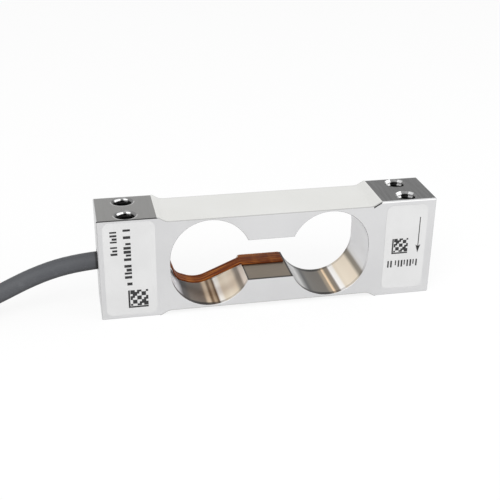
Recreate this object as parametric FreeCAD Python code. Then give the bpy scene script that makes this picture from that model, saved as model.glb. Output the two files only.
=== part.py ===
import FreeCAD, Part
import math
import os

# Single point load cell: a machined aluminium bending beam with two end blocks, two wide bores
# joined by a slot, foil strain gauges under thin white covers above and below the bores, a flex
# circuit that sags through the left bore to the slot's floor, and a four-core cable.
# All lengths are in millimetres and all angles in degrees.
# The beam stands on its two end blocks. X runs along it and the cable leaves at -X, Y runs from its
# front face to its back face, Z is up, and the origin is under its middle at the height of its feet.

Vector = FreeCAD.Vector

# Beam
BEAM_LENGTH = 80.0
BEAM_WIDTH = 13.7
BEAM_HEIGHT = 25.0
EDGE_CHAMFER = 0.2
BLOCK_LENGTH = 13.5
RECESS_DEPTH = 1.26
RAMP_RUN = 2.1
RAMP_FILLET = 3.0
BORE_BLOCK_GAP = 2.75
BORE_BRIDGE = 9.5
FLEXURE_THICKNESS = 0.28
SLOT_HEIGHT = 10.4

# Mounting holes: M5 threads at their core size, two in the top and two in the foot of each block
THREAD_CORE_RADIUS = 2.1
COUNTERSINK_RADIUS = 2.6
HOLE_DEPTH = 8.5
HOLE_INSET = 6.65
HOLE_SPACING = 7.9
DRILL_POINT_ANGLE = 118.0

# Ways for the cable and the wires inside the left block
CABLE_DIAMETER = 4.2
SEAL_WALL = 0.4
SEAL_RECESS = 0.3
CABLE_INSERTION = 5.5
PASSAGE_RADIUS = 1.7
LEAD_HOLE_RADIUS = 0.6
LEAD_HOLE_WALL = 0.85

# Covers, gauges and wiring films in the two recesses
COVER_THICKNESS = 0.18
FILM_THICKNESS = 0.07
FOIL_THICKNESS = 0.05
GAUGE_LENGTH = 9.0
GAUGE_WIDTH = 6.0
GAUGE_CORNER = 0.6
GRID_LINES = 10
GRID_LENGTH = 4.4
GRID_LINE_WIDTH = 0.22
GRID_PITCH = 0.42
GRID_TAB_LENGTH = 1.2
GRID_TAB_WIDTH = 1.6
WIRING_WIDTH = 1.8
WIRING_GAP = 0.3
RESISTOR_LENGTH = 5.4
RESISTOR_WIDTH = 4.0
RESISTOR_SHIFT = 1.5
RESISTOR_LINES = 8

# Flex circuit: a pad bonded to the slot's floor and a tail that sags through the left bore
FLEX_THICKNESS = 0.35
PAD_WIDTH = 5.8
PAD_BACK_GAP = 0.45
PAD_END_GAP = 0.6
PAD_CORNER = 0.9
TAIL_WIDTH = 3.9
TAIL_BACK_GAP = 1.75
TAIL_JOINT_MARGIN = 0.5
TAIL_SAG_ANGLES = (220.7, 254.6)
TAIL_SAG_GAPS = (0.08, 1.42)
TAIL_CORNER_GAP = 0.25
TAIL_RADII = (1.5, 3.1, 10.0, 1.0)

# Cores of the cable and lead wires of the gauges
CORE_COLOURS = ("red", "black", "green", "white")
CORE_DIAMETER = 0.7
CORE_PITCH = 0.9
CORE_PLAY = 0.03
NEAR_TIP_REACH = 1.6
FAR_BEND_REACH = 2.1
FAR_STEP_REACH = 2.7
FAR_TIP_GAP = 0.25
SOLDER_WALL = 0.08
SOLDER_LENGTH = 0.6
LEAD_WIRE_DIAMETER = 0.25
LEAD_WIRE_PITCH = 0.36
LEAD_WIRE_COUNT = 3

# Labels on the front faces of the blocks, each with its margins to the block's left, right,
# foot and top
LABEL_THICKNESS = 0.06
LABEL_CORNER = 1.6
LEFT_LABEL_MARGINS = (1.2, 0.5, 0.9, 0.6)
RIGHT_LABEL_MARGINS = (1.3, 1.9, 1.8, 1.3)

# Free cable: it leaves the block level, sinks to the surface and is put away in a tied hank of
# long turns, with two turns beside each other in each layer
FLOOR_PLAY = 0.05
ARC_SHARE = 0.45
HANK_START_X = -99.5
HANK_FRONT_Y = -4.7
HANK_RUN = 40.0
HANK_INNER_TURN = 13.0
HANK_PITCH = 4.3
HANK_TURNS_PER_LAYER = 2
HANK_LAYERS = 3
HANK_PLAY = 0.3
HANK_EDGE = 1.6
INLET_LENGTH = 14.0
OUTLET_RUNS = (14.0, 6.0)
FAR_RUN = 13.0
TIE_WIDTH = 4.0
TIE_THICKNESS = 0.6
TIE_CORNER = 2.0
TIE_PLAY = 0.05
SLEEVE_LENGTH = 3.6
SLEEVE_WALL = 0.2

# Stripped far end of the cable: its cores fan out on the hank
FAN_START = 5.0
FAN_REACHES = (13.0, 20.0)
FAN_SPREADS = (2.2, 2.3)
FAN_LOW_SHARE = 0.2
TIP_LENGTH = 3.0
TIP_DIAMETER = 0.4

# Values that follow from the sizes above
HALF_LENGTH = BEAM_LENGTH / 2
HALF_WIDTH = BEAM_WIDTH / 2
MIDDLE_HEIGHT = BEAM_HEIGHT / 2
BLOCK_EDGE = HALF_LENGTH - BLOCK_LENGTH
RECESS_FLOOR = BEAM_HEIGHT - RECESS_DEPTH
BORE_WIDTH = BLOCK_EDGE - BORE_BLOCK_GAP - BORE_BRIDGE / 2
BORE_HEIGHT = BEAM_HEIGHT - 2 * (RECESS_DEPTH + FLEXURE_THICKNESS)
BORE_ROUNDING = min(BORE_WIDTH, BORE_HEIGHT) / 2
BORE_X = (BORE_BRIDGE + BORE_WIDTH) / 2
BORE_REACH_X = BORE_WIDTH / 2 - BORE_ROUNDING
BORE_REACH_Z = BORE_HEIGHT / 2 - BORE_ROUNDING
SLOT_FLOOR = MIDDLE_HEIGHT - SLOT_HEIGHT / 2
SLOT_CORNER_X = BORE_X - BORE_REACH_X - math.sqrt(
    BORE_ROUNDING**2 - max(SLOT_HEIGHT / 2 - BORE_REACH_Z, 0) ** 2
)
LEFT_WALL_X = -BORE_X - BORE_WIDTH / 2
JOINT_REACH = (CORE_PITCH + CORE_DIAMETER) / 2 + TAIL_JOINT_MARGIN
JOINT_WALL_X = -BORE_X - BORE_REACH_X - math.sqrt(
    BORE_ROUNDING**2 - max(JOINT_REACH - BORE_REACH_Z, 0) ** 2
)
JOINT_FACE_X = JOINT_WALL_X + FLEX_THICKNESS
CORE_TIP_X = JOINT_FACE_X + CORE_PLAY + CORE_DIAMETER / 2
CABLE_RADIUS = CABLE_DIAMETER / 2
SEAL_RADIUS = CABLE_RADIUS + SEAL_WALL
JACKET_END_X = -HALF_LENGTH + CABLE_INSERTION
LEAD_HOLE_X = LEFT_WALL_X - LEAD_HOLE_WALL - LEAD_HOLE_RADIUS
TAIL_BACK = HALF_WIDTH - TAIL_BACK_GAP
TAIL_FRONT = TAIL_BACK - TAIL_WIDTH
CABLE_REST = CABLE_RADIUS + FLOOR_PLAY
SLEEVE_RADIUS = CABLE_RADIUS + SLEEVE_WALL
HANK_OUTER_TURN = HANK_INNER_TURN + (HANK_TURNS_PER_LAYER - 1) * HANK_PITCH
HANK_MIDDLE_Y = HANK_FRONT_Y + HANK_OUTER_TURN
HANK_END_X = HANK_START_X - HANK_RUN
HANK_HEIGHT = HANK_LAYERS * HANK_PITCH
HANK_OUTSIDE = HANK_OUTER_TURN + CABLE_RADIUS + HANK_PLAY
HANK_INSIDE = HANK_INNER_TURN - CABLE_RADIUS - HANK_PLAY
TOP_REST = HANK_HEIGHT + FLOOR_PLAY

# The free cable's corner points, from its exit to the surface in front of the hank
CABLE_ROUTE = (
    (-42.0, 0.0, MIDDLE_HEIGHT),
    (-53.0, 0.6, 10.6),
    (-66.0, -1.8, 5.4),
    (-77.5, HANK_FRONT_Y, CABLE_REST),
)


# Shapes that several pieces share


def box(low, high):
    """Box between two opposite corners."""
    size = [b - a for a, b in zip(low, high)]
    return Part.makeBox(*size, Vector(*low))


def rod(start, end, radius):
    """Straight round bar between two points."""
    return Part.makeCylinder(radius, start.distanceToPoint(end), start, end - start)


def rounded_plate(low, high, corner, axis):
    """Plate between two opposite corners with its four edges along one axis rounded."""
    plate = box(low, high)
    edges = [e for e in plate.Edges if abs(e.tangentAt(e.FirstParameter).dot(axis)) > 0.99]
    return plate.makeFillet(corner, edges)


def rounded_edges(points, radii):
    """Straight edges joined by tangent arcs, along points in space.

    radii holds one radius for each inner point, zero for a sharp corner. The runs beside a corner
    limit its radius.
    """
    edges = []
    start = points[0]
    for before, corner, after, radius in zip(points, points[1:], points[2:], radii):
        if radius == 0:
            edges.append(Part.LineSegment(start, corner).toShape())
            start = corner
            continue
        back = (before - corner).normalize()
        ahead = (after - corner).normalize()
        half_turn = (math.pi - back.getAngle(ahead)) / 2
        shorter = min(corner.distanceToPoint(before), corner.distanceToPoint(after))
        reach = min(radius * math.tan(half_turn), 0.49 * shorter)
        arc_radius = reach / math.tan(half_turn)
        bisector = (back + ahead).normalize()
        arc_middle = corner + bisector * (arc_radius / math.cos(half_turn) - arc_radius)
        arc_start = corner + back * reach
        arc_end = corner + ahead * reach
        edges.append(Part.LineSegment(start, arc_start).toShape())
        edges.append(Part.Arc(arc_start, arc_middle, arc_end).toShape())
        start = arc_end
    edges.append(Part.LineSegment(start, points[-1]).toShape())
    return edges


def parallel_line(points, radii, distance):
    """Corner points and radii of a parallel to a line in the XZ plane, on its left side."""
    headings = [(b - a).normalize() for a, b in zip(points, points[1:])]
    sides = [Vector(-h.z, 0, h.x) for h in headings]
    moved = [points[0] + sides[0] * distance]
    for corner, first, second in zip(points[1:], sides, sides[1:]):
        bisector = (first + second).normalize()
        moved.append(corner + bisector * (distance / bisector.dot(first)))
    moved.append(points[-1] + sides[-1] * distance)
    moved_radii = []
    for radius, first, second in zip(radii, headings, headings[1:]):
        turns_left = first.cross(second).y < 0
        moved_radii.append(radius - distance if turns_left else radius + distance)
    return moved, moved_radii


def band(points, radii, low, high, front, back):
    """Strip along a rounded line in the XZ plane, between two distances on its left side."""
    lower = rounded_edges(*parallel_line(points, radii, low))
    upper = rounded_edges(*parallel_line(points, radii, high))
    starts = (lower[0].Vertexes[0].Point, upper[0].Vertexes[0].Point)
    ends = (lower[-1].Vertexes[-1].Point, upper[-1].Vertexes[-1].Point)
    caps = [Part.LineSegment(a, b).toShape() for a, b in (starts, ends)]
    outline = Part.Wire(Part.__sortEdges__(lower + upper + caps))
    strip = Part.Face(outline).extrude(Vector(0, back - front, 0))
    return strip.translated(Vector(0, front, 0))


def tube(points, radii, radius):
    """Round tube along a rounded line through points in space."""
    path = Part.Wire(rounded_edges(points, radii))
    section = Part.Wire(Part.makeCircle(radius, points[0], points[1] - points[0]))
    return path.makePipeShell([section], True, False, 1)


def widest_arcs(points):
    """Radius at each inner point that uses the allowed share of the shorter run beside it."""
    radii = []
    for before, corner, after in zip(points, points[1:], points[2:]):
        turn = (corner - before).getAngle(after - corner)
        shorter = min(corner.distanceToPoint(before), corner.distanceToPoint(after))
        radii.append(ARC_SHARE * shorter / math.tan(turn / 2))
    return radii


def upside_down(shape):
    """The same shape mirrored to the lower half of the beam."""
    return shape.mirror(Vector(0, 0, MIDDLE_HEIGHT), Vector(0, 0, 1))


# Beam


def recess_void(lift):
    """Space above the floor and ramps of the top recess, with its outline raised by lift."""
    ramp_length = math.hypot(RAMP_RUN, RECESS_DEPTH)
    rim_x = BLOCK_EDGE - lift * ramp_length / RECESS_DEPTH
    floor = RECESS_FLOOR + lift
    foot_x = rim_x - RAMP_RUN * (BEAM_HEIGHT - floor) / RECESS_DEPTH
    sky = BEAM_HEIGHT + RECESS_DEPTH
    outline = [(-rim_x, sky), (-rim_x, BEAM_HEIGHT), (-foot_x, floor)]
    outline += [(-x, z) for x, z in reversed(outline)]
    points = [Vector(x, -BEAM_WIDTH, z) for x, z in outline]
    fillet = RAMP_FILLET - lift
    edges = rounded_edges(points, [0, fillet, fillet, 0])
    edges.append(Part.LineSegment(points[-1], points[0]).toShape())
    return Part.Face(Part.Wire(edges)).extrude(Vector(0, 2 * BEAM_WIDTH, 0))


def bore(x):
    """Cutter of one wide bore, through the beam from front to back."""
    centre = Vector(x, 0, MIDDLE_HEIGHT)
    reach = Vector(BORE_REACH_X, 0, BORE_REACH_Z)
    along = Vector(0, BEAM_WIDTH, 0)
    cutters = [
        rod(centre + offset - along, centre + offset + along, BORE_ROUNDING)
        for offset in (reach, reach * -1)
    ]
    if reach.Length > 0:
        side = Vector(0, 0, BORE_ROUNDING) if BORE_REACH_X > 0 else Vector(BORE_ROUNDING, 0, 0)
        corner = reach + side + along
        cutters.append(box(centre - corner, centre + corner))
    return cutters[0].multiFuse(cutters[1:]).removeSplitter()


def threaded_hole(x, y):
    """Cutter of one blind threaded hole in a block's top, with its countersink and drill point."""
    mouth = Vector(x, y, BEAM_HEIGHT)
    floor_z = BEAM_HEIGHT - HOLE_DEPTH
    point_height = THREAD_CORE_RADIUS / math.tan(math.radians(DRILL_POINT_ANGLE / 2))
    flare = COUNTERSINK_RADIUS - THREAD_CORE_RADIUS
    outline = [
        Vector(0, 0, floor_z - point_height),
        Vector(THREAD_CORE_RADIUS, 0, floor_z),
        Vector(THREAD_CORE_RADIUS, 0, BEAM_HEIGHT - flare),
        Vector(COUNTERSINK_RADIUS + flare, 0, BEAM_HEIGHT + flare),
        Vector(0, 0, BEAM_HEIGHT + flare),
    ]
    profile = Part.Face(Part.makePolygon(outline + outline[:1]))
    cutter = profile.revolve(Vector(0, 0, 0), Vector(0, 0, 1), 360)
    return cutter.translated(Vector(mouth.x, mouth.y, 0))


def beam():
    """The bending beam, machined from one bar."""
    bar = box((-HALF_LENGTH, -HALF_WIDTH, 0), (HALF_LENGTH, HALF_WIDTH, BEAM_HEIGHT))
    bar = bar.makeChamfer(EDGE_CHAMFER, bar.Edges)
    recess = recess_void(0)
    slot = box(
        (-BORE_X, -BEAM_WIDTH, SLOT_FLOOR), (BORE_X, BEAM_WIDTH, SLOT_FLOOR + SLOT_HEIGHT)
    )
    hollow = bore(-BORE_X).fuse([bore(BORE_X), slot]).removeSplitter()
    axis_start = Vector(-BEAM_LENGTH, 0, MIDDLE_HEIGHT)
    pocket = rod(axis_start, Vector(JACKET_END_X, 0, MIDDLE_HEIGHT), SEAL_RADIUS)
    passage = rod(axis_start, Vector(-BORE_X, 0, MIDDLE_HEIGHT), PASSAGE_RADIUS)
    lead_hole = rod(Vector(LEAD_HOLE_X, 0, 0), Vector(LEAD_HOLE_X, 0, BEAM_HEIGHT), LEAD_HOLE_RADIUS)
    cutters = [recess, upside_down(recess), hollow, pocket, passage, lead_hole]
    hole_x = HALF_LENGTH - HOLE_INSET
    for x in (-hole_x, hole_x):
        for y in (-HOLE_SPACING / 2, HOLE_SPACING / 2):
            hole = threaded_hole(x, y)
            foot_hole = hole.rotated(Vector(0, 0, MIDDLE_HEIGHT), Vector(1, 0, 0), 180)
            cutters += [hole, foot_hole]
    for cutter in cutters:
        bar = bar.cut(cutter)
    return bar


# Gauges, films and covers in the top recess, mirrored for the lower one


def recess_layer(low, high):
    """Film that follows the recess floor and ramps, between two heights above them."""
    envelope = box(
        (-HALF_LENGTH, -HALF_WIDTH, 0), (HALF_LENGTH, HALF_WIDTH, BEAM_HEIGHT)
    )
    return recess_void(low).cut(recess_void(high)).common(envelope)


def foil_lines(lines, length, floor):
    """Bars of a folded foil track: parallel lines along X joined at alternate ends."""
    half = length / 2
    bars = []
    for i in range(lines):
        y = (i - (lines - 1) / 2) * GRID_PITCH
        bars.append((-half, y, half, y))
        if i < lines - 1:
            end = half if i % 2 == 0 else -half
            bars.append((end, y, end, y + GRID_PITCH))
    grow = GRID_LINE_WIDTH / 2
    return [
        box((x0 - grow, y0 - grow, floor), (x1 + grow, y1 + grow, floor + FOIL_THICKNESS))
        for x0, y0, x1, y1 in bars
    ]


def gauge_carrier(x):
    """Polyimide carrier of one strain gauge."""
    return rounded_plate(
        (x - GAUGE_LENGTH / 2, -GAUGE_WIDTH / 2, RECESS_FLOOR),
        (x + GAUGE_LENGTH / 2, GAUGE_WIDTH / 2, RECESS_FLOOR + FILM_THICKNESS),
        GAUGE_CORNER,
        Vector(0, 0, 1),
    )


def gauge_grid(x):
    """Foil grid of one strain gauge with its two solder tabs."""
    floor = RECESS_FLOOR + FILM_THICKNESS
    bars = foil_lines(GRID_LINES, GRID_LENGTH, floor)
    outer_y = (GRID_LINES - 1) / 2 * GRID_PITCH + GRID_LINE_WIDTH / 2
    neck_x = -GRID_LENGTH / 2 - GRID_PITCH
    for side in (-1, 1):
        edge, inner = side * outer_y, side * (outer_y - GRID_LINE_WIDTH)
        tab_inner = side * (outer_y - GRID_TAB_WIDTH)
        top = floor + FOIL_THICKNESS
        bars.append(box((neck_x, min(edge, inner), floor), (0, max(edge, inner), top)))
        bars.append(
            box(
                (neck_x - GRID_TAB_LENGTH, min(edge, tab_inner), floor),
                (neck_x, max(edge, tab_inner), top),
            )
        )
    grid = bars[0].multiFuse(bars[1:]).removeSplitter()
    return grid.translated(Vector(x + (GRID_TAB_LENGTH + GRID_PITCH) / 2, 0, 0))


def resistor_carrier():
    """Carrier film of the foil resistor, on the floor between the gauges."""
    plate = box(
        (-RESISTOR_LENGTH / 2, -RESISTOR_WIDTH / 2, RECESS_FLOOR),
        (RESISTOR_LENGTH / 2, RESISTOR_WIDTH / 2, RECESS_FLOOR + FILM_THICKNESS),
    )
    return plate.translated(Vector(0, -RESISTOR_SHIFT, 0))


def compensation_resistor():
    """Nickel foil resistor on its carrier."""
    track_length = RESISTOR_LENGTH - 2 * GRID_PITCH
    bars = foil_lines(RESISTOR_LINES, track_length, RECESS_FLOOR + FILM_THICKNESS)
    track = [bar.translated(Vector(0, -RESISTOR_SHIFT, 0)) for bar in bars]
    return resistor_carrier().multiFuse(track).removeSplitter()


def wiring_film():
    """Film that leads from the lead hole's mouth along the recess to both gauges."""
    half = WIRING_WIDTH / 2
    mouth_x = LEAD_HOLE_X - LEAD_HOLE_RADIUS - WIRING_GAP
    turn_x = -BORE_X - GAUGE_LENGTH / 2 - WIRING_GAP - WIRING_WIDTH
    strip_front = GAUGE_WIDTH / 2 + WIRING_GAP
    strip_back = strip_front + WIRING_WIDTH
    end_x = BORE_X + WIRING_WIDTH
    areas = [
        (mouth_x, -half, turn_x + WIRING_WIDTH, half),
        (turn_x, -half, turn_x + WIRING_WIDTH, strip_back),
        (turn_x, strip_front, end_x, strip_back),
    ]
    for gauge_x in (-BORE_X, BORE_X):
        areas.append((gauge_x - half, GAUGE_WIDTH / 2, gauge_x + half, strip_back))
    boxes = [box((x0, y0, 0), (x1, y1, BEAM_HEIGHT)) for x0, y0, x1, y1 in areas]
    plan = boxes[0].multiFuse(boxes[1:]).removeSplitter()
    return recess_layer(0, FILM_THICKNESS).common(plan)


def lead_wire(number):
    """One gauge lead wire in the lead hole, from the cable's cores up to the wiring film."""
    foot = MIDDLE_HEIGHT + (CORE_PITCH + CORE_DIAMETER) / 2 + CORE_PLAY
    y = (number - (LEAD_WIRE_COUNT - 1) / 2) * LEAD_WIRE_PITCH
    start, end = Vector(LEAD_HOLE_X, y, foot), Vector(LEAD_HOLE_X, y, BEAM_HEIGHT)
    return rod(start, end, LEAD_WIRE_DIAMETER / 2).cut(recess_void(0))


def foil_room(carrier):
    """Room for a carrier and the foil on it, under the cover."""
    return carrier.fuse(carrier.translated(Vector(0, 0, FOIL_THICKNESS))).removeSplitter()


def cover(inlays):
    """White cover film over one recess, moulded over what lies under it."""
    film = recess_layer(0, COVER_THICKNESS)
    for inlay in inlays:
        film = film.cut(inlay)
    return film


# Flex circuit and the cable's inner end


def flex_circuit():
    """Flex circuit: the pad on the slot's floor and the tail that hangs from the left wall."""
    middle = FLEX_THICKNESS / 2
    wall_x = JOINT_WALL_X + middle
    rest_z = SLOT_FLOOR + middle
    sag_centre = Vector(-BORE_X - BORE_REACH_X, 0, MIDDLE_HEIGHT - BORE_REACH_Z)
    line = [
        Vector(wall_x, 0, MIDDLE_HEIGHT + JOINT_REACH),
        Vector(wall_x, 0, MIDDLE_HEIGHT - JOINT_REACH),
    ]
    for angle, gap in zip(TAIL_SAG_ANGLES, TAIL_SAG_GAPS):
        direction = Vector(math.cos(math.radians(angle)), 0, math.sin(math.radians(angle)))
        line.append(sag_centre + direction * (BORE_ROUNDING - gap))
    line.append(Vector(-SLOT_CORNER_X - TAIL_CORNER_GAP, 0, rest_z))
    line.append(Vector(0, 0, rest_z))
    tail = band(line, TAIL_RADII, -middle, middle, TAIL_FRONT, TAIL_BACK)
    pad_back = HALF_WIDTH - PAD_BACK_GAP
    pad = rounded_plate(
        (-SLOT_CORNER_X, pad_back - PAD_WIDTH, SLOT_FLOOR),
        (SLOT_CORNER_X - PAD_END_GAP, pad_back, SLOT_FLOOR + FLEX_THICKNESS),
        PAD_CORNER,
        Vector(0, 0, 1),
    )
    return pad.fuse(tail).removeSplitter()


def core_rows():
    """For each core its colour, its side of the bundle and its height in it."""
    half = CORE_PITCH / 2
    places = ((half, -half), (half, half), (-half, -half), (-half, half))
    return [(colour, y, z) for colour, (y, z) in zip(CORE_COLOURS, places)]


def inner_core(y, z):
    """One core from the jacket's inner end through the passage to its joint on the flex tail."""
    height = MIDDLE_HEIGHT + z
    if y > 0:
        corners = [(CORE_TIP_X, y), (CORE_TIP_X, TAIL_FRONT + NEAR_TIP_REACH)]
    else:
        outer_x = CORE_TIP_X + CORE_DIAMETER + SOLDER_WALL + CORE_PLAY
        corners = [
            (outer_x, y),
            (outer_x, TAIL_FRONT + FAR_BEND_REACH),
            (CORE_TIP_X, TAIL_FRONT + FAR_STEP_REACH),
            (CORE_TIP_X, TAIL_BACK - FAR_TIP_GAP),
        ]
    points = [Vector(JACKET_END_X, y, height)] + [Vector(cx, cy, height) for cx, cy in corners]
    return tube(points, [0] * (len(points) - 2), CORE_DIAMETER / 2)


def solder_joint(y, z, core):
    """Solder round the tip of one core on the flex tail."""
    tip_y = TAIL_FRONT + NEAR_TIP_REACH if y > 0 else TAIL_BACK - FAR_TIP_GAP
    height = MIDDLE_HEIGHT + z
    reach = CORE_DIAMETER / 2 + SOLDER_WALL
    joint = box(
        (JOINT_FACE_X, tip_y - SOLDER_LENGTH, height - reach),
        (CORE_TIP_X + reach, tip_y + SOLDER_WALL, height + reach),
    )
    outer_edges = [e for e in joint.Edges if e.BoundBox.XMin > CORE_TIP_X and e.BoundBox.YLength > reach]
    return joint.makeChamfer(reach / 2, outer_edges).cut(core)


def cable_seal():
    """Potting that seals the jacket in its pocket, a little below the end face."""
    mouth = Vector(-HALF_LENGTH + SEAL_RECESS, 0, MIDDLE_HEIGHT)
    inner = Vector(JACKET_END_X, 0, MIDDLE_HEIGHT)
    return rod(mouth, inner, SEAL_RADIUS).cut(rod(mouth, inner, CABLE_RADIUS))


# Free cable


def cable_jacket():
    """The jacket from its end inside the block down to the surface in front of the hank."""
    points = [Vector(JACKET_END_X, 0, MIDDLE_HEIGHT)]
    points += [Vector(*point) for point in CABLE_ROUTE]
    points.append(Vector(HANK_START_X + INLET_LENGTH, HANK_FRONT_Y, CABLE_REST))
    radii = widest_arcs(points)
    print("cable arcs:", [round(radius, 1) for radius in radii], "mm")
    jacket = tube(points, radii, CABLE_RADIUS)
    path_length = sum(edge.Length for edge in rounded_edges(points, radii))
    print("free jacket length:", round(path_length, 1), "mm")
    print("volume over section times length:", jacket.Volume / (math.pi * CABLE_RADIUS**2 * path_length))
    return jacket


def racetrack(radius):
    """Block as high as the hank, with straight long sides and ends of one radius."""
    centres = [Vector(x, HANK_MIDDLE_Y, 0) for x in (HANK_START_X, HANK_END_X)]
    up = Vector(0, 0, HANK_HEIGHT)
    ends = [rod(centre, centre + up, radius) for centre in centres]
    reach = Vector(0, radius, 0)
    middle = box(centres[1] - reach, centres[0] + reach + up)
    return middle.multiFuse(ends).removeSplitter()


def tie_plate(inset, width):
    """Rounded plate across the hank's back run, smaller than the run's section by inset."""
    x = (HANK_START_X + HANK_END_X) / 2
    low = (x - width / 2, HANK_MIDDLE_Y + HANK_INSIDE + inset, inset)
    high = (x + width / 2, HANK_MIDDLE_Y + HANK_OUTSIDE - inset, HANK_HEIGHT - inset)
    return rounded_plate(low, high, TIE_CORNER - inset, Vector(1, 0, 0))


def hank_tie():
    """Band that ties the hank's back run."""
    return tie_plate(0, TIE_WIDTH).cut(tie_plate(TIE_THICKNESS, TIE_WIDTH))


def tie_groove():
    """Room that the tie presses into the hank."""
    width = TIE_WIDTH + 2 * TIE_PLAY
    core = tie_plate(TIE_THICKNESS + TIE_PLAY, width)
    low = Vector(core.BoundBox.XMin, HANK_MIDDLE_Y, -TIE_WIDTH)
    high = Vector(core.BoundBox.XMax, HANK_MIDDLE_Y + 2 * HANK_OUTSIDE, 2 * HANK_HEIGHT)
    return box(low, high).cut(core)


def outlet_points():
    """Corner points of the far jacket: out of the hank's top, round one end on it and level."""
    x, y = HANK_END_X, HANK_MIDDLE_Y
    turn = HANK_INNER_TURN
    top = TOP_REST + SLEEVE_RADIUS
    climb, level = OUTLET_RUNS
    return [
        Vector(x, y + turn, HANK_HEIGHT - CABLE_RADIUS),
        Vector(x + climb, y + turn, top),
        Vector(x + climb + level, y + turn, top),
        Vector(HANK_START_X + turn, y + turn, top),
        Vector(HANK_START_X + turn, y - turn, top),
        Vector(HANK_START_X - FAR_RUN, y - turn, top),
    ]


def cable_hank():
    """Outer shape of the hank, grooved for its tie, with the stubs of its two ends."""
    block = racetrack(HANK_OUTSIDE)
    rims = [e for e in block.Edges if abs(e.Vertexes[0].Z - e.Vertexes[-1].Z) < FLOOR_PLAY]
    ring = block.makeChamfer(HANK_EDGE, rims).cut([racetrack(HANK_INSIDE), tie_groove()])
    inlet_end = Vector(HANK_START_X, HANK_FRONT_Y, CABLE_REST)
    inlet = rod(inlet_end + Vector(INLET_LENGTH, 0, 0), inlet_end, CABLE_RADIUS)
    points = outlet_points()[:3]
    outlet = tube(points, widest_arcs(points), CABLE_RADIUS)
    return ring.fuse([inlet, outlet]).removeSplitter()


def far_jacket():
    """The jacket from the hank's top to its stripped end."""
    points = outlet_points()[2:]
    return tube(points, [HANK_INNER_TURN, HANK_INNER_TURN], CABLE_RADIUS)


def end_sleeve():
    """Shrink sleeve on the jacket's stripped end."""
    end = outlet_points()[-1]
    start = end + Vector(SLEEVE_LENGTH, 0, 0)
    return rod(start, end, SLEEVE_RADIUS).cut(rod(start, end, CABLE_RADIUS))


def fan_points(side, height):
    """Corner points of one stripped core, from the jacket's end onto the hank."""
    end = outlet_points()[-1]
    rest = TOP_REST + CORE_DIAMETER / 2
    share = math.copysign(1.0 if height > 0 else FAN_LOW_SHARE, side)
    points = [end + Vector(-reach, side, height) for reach in (0, FAN_START)]
    for reach, spread in zip(FAN_REACHES, FAN_SPREADS):
        points.append(Vector(end.x - reach, end.y + share * spread, rest))
    return points


def outer_core(side, height):
    """One stripped core outside the jacket."""
    points = fan_points(side, height)
    return tube(points, [0] * (len(points) - 2), CORE_DIAMETER / 2)


def tinned_tip(side, height):
    """Bare tinned tip of one stripped core."""
    before, end = fan_points(side, height)[-2:]
    heading = (end - before).normalize()
    return rod(end, end + heading * TIP_LENGTH, TIP_DIAMETER / 2)


# Labels


def label(block_left, margins):
    """Film label on the front face of a block that starts at block_left."""
    left, right, foot, top = margins
    return rounded_plate(
        (block_left + left, -HALF_WIDTH - LABEL_THICKNESS, foot),
        (block_left + BLOCK_LENGTH - right, -HALF_WIDTH, BEAM_HEIGHT - top),
        LABEL_CORNER,
        Vector(0, 1, 0),
    )


def main():
    """Build every piece and write it to its own file."""
    resistor, film = compensation_resistor(), wiring_film()
    nodes = {"beam": beam()}
    inlays = [foil_room(resistor_carrier()), film]
    for side, x in (("left", -BORE_X), ("right", BORE_X)):
        carrier, grid = gauge_carrier(x), gauge_grid(x)
        inlays.append(foil_room(carrier))
        nodes[f"gauge_carrier_top_{side}"] = carrier
        nodes[f"gauge_grid_top_{side}"] = grid
        nodes[f"gauge_carrier_bottom_{side}"] = upside_down(carrier)
        nodes[f"gauge_grid_bottom_{side}"] = upside_down(grid)
    singles = {
        "cover": cover(inlays),
        "compensation_resistor": resistor,
        "wiring_film": film,
    }
    for number in range(LEAD_WIRE_COUNT):
        singles[f"lead_wire_{number + 1}"] = lead_wire(number)
    for name, shape in singles.items():
        nodes[f"top_{name}"] = shape
        nodes[f"bottom_{name}"] = upside_down(shape)
    nodes["flex_circuit"] = flex_circuit()
    for colour, y, z in core_rows():
        core = inner_core(y, z)
        nodes[f"inner_core_{colour}"] = core
        nodes[f"solder_joint_{colour}"] = solder_joint(y, z, core)
        nodes[f"outer_core_{colour}"] = outer_core(y, z)
        nodes[f"tinned_tip_{colour}"] = tinned_tip(y, z)
    nodes["cable_seal"] = cable_seal()
    nodes["cable_jacket"] = cable_jacket()
    nodes["cable_hank"] = cable_hank()
    nodes["hank_tie"] = hank_tie()
    nodes["far_jacket"] = far_jacket()
    nodes["end_sleeve"] = end_sleeve()
    nodes["left_label"] = label(-HALF_LENGTH, LEFT_LABEL_MARGINS)
    nodes["right_label"] = label(BLOCK_EDGE, RIGHT_LABEL_MARGINS)
    os.makedirs("parts", exist_ok=True)
    for name, shape in nodes.items():
        shape.exportStep(f"parts/{name}.step")


main()
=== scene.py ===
"""Looks of a single point load cell: a satin aluminium beam with bright bores, white gauge covers,
a flex circuit, blank printed labels, threaded holes and a tied four-core cable.

Sizes in the classes below are in millimetres. Blender's own objects are in metres.
"""

import logging
import math
from dataclasses import dataclass, field
from enum import Enum
from typing import Any, Callable, Sequence

import bmesh
import bpy
from mathutils import Matrix, Vector

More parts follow.
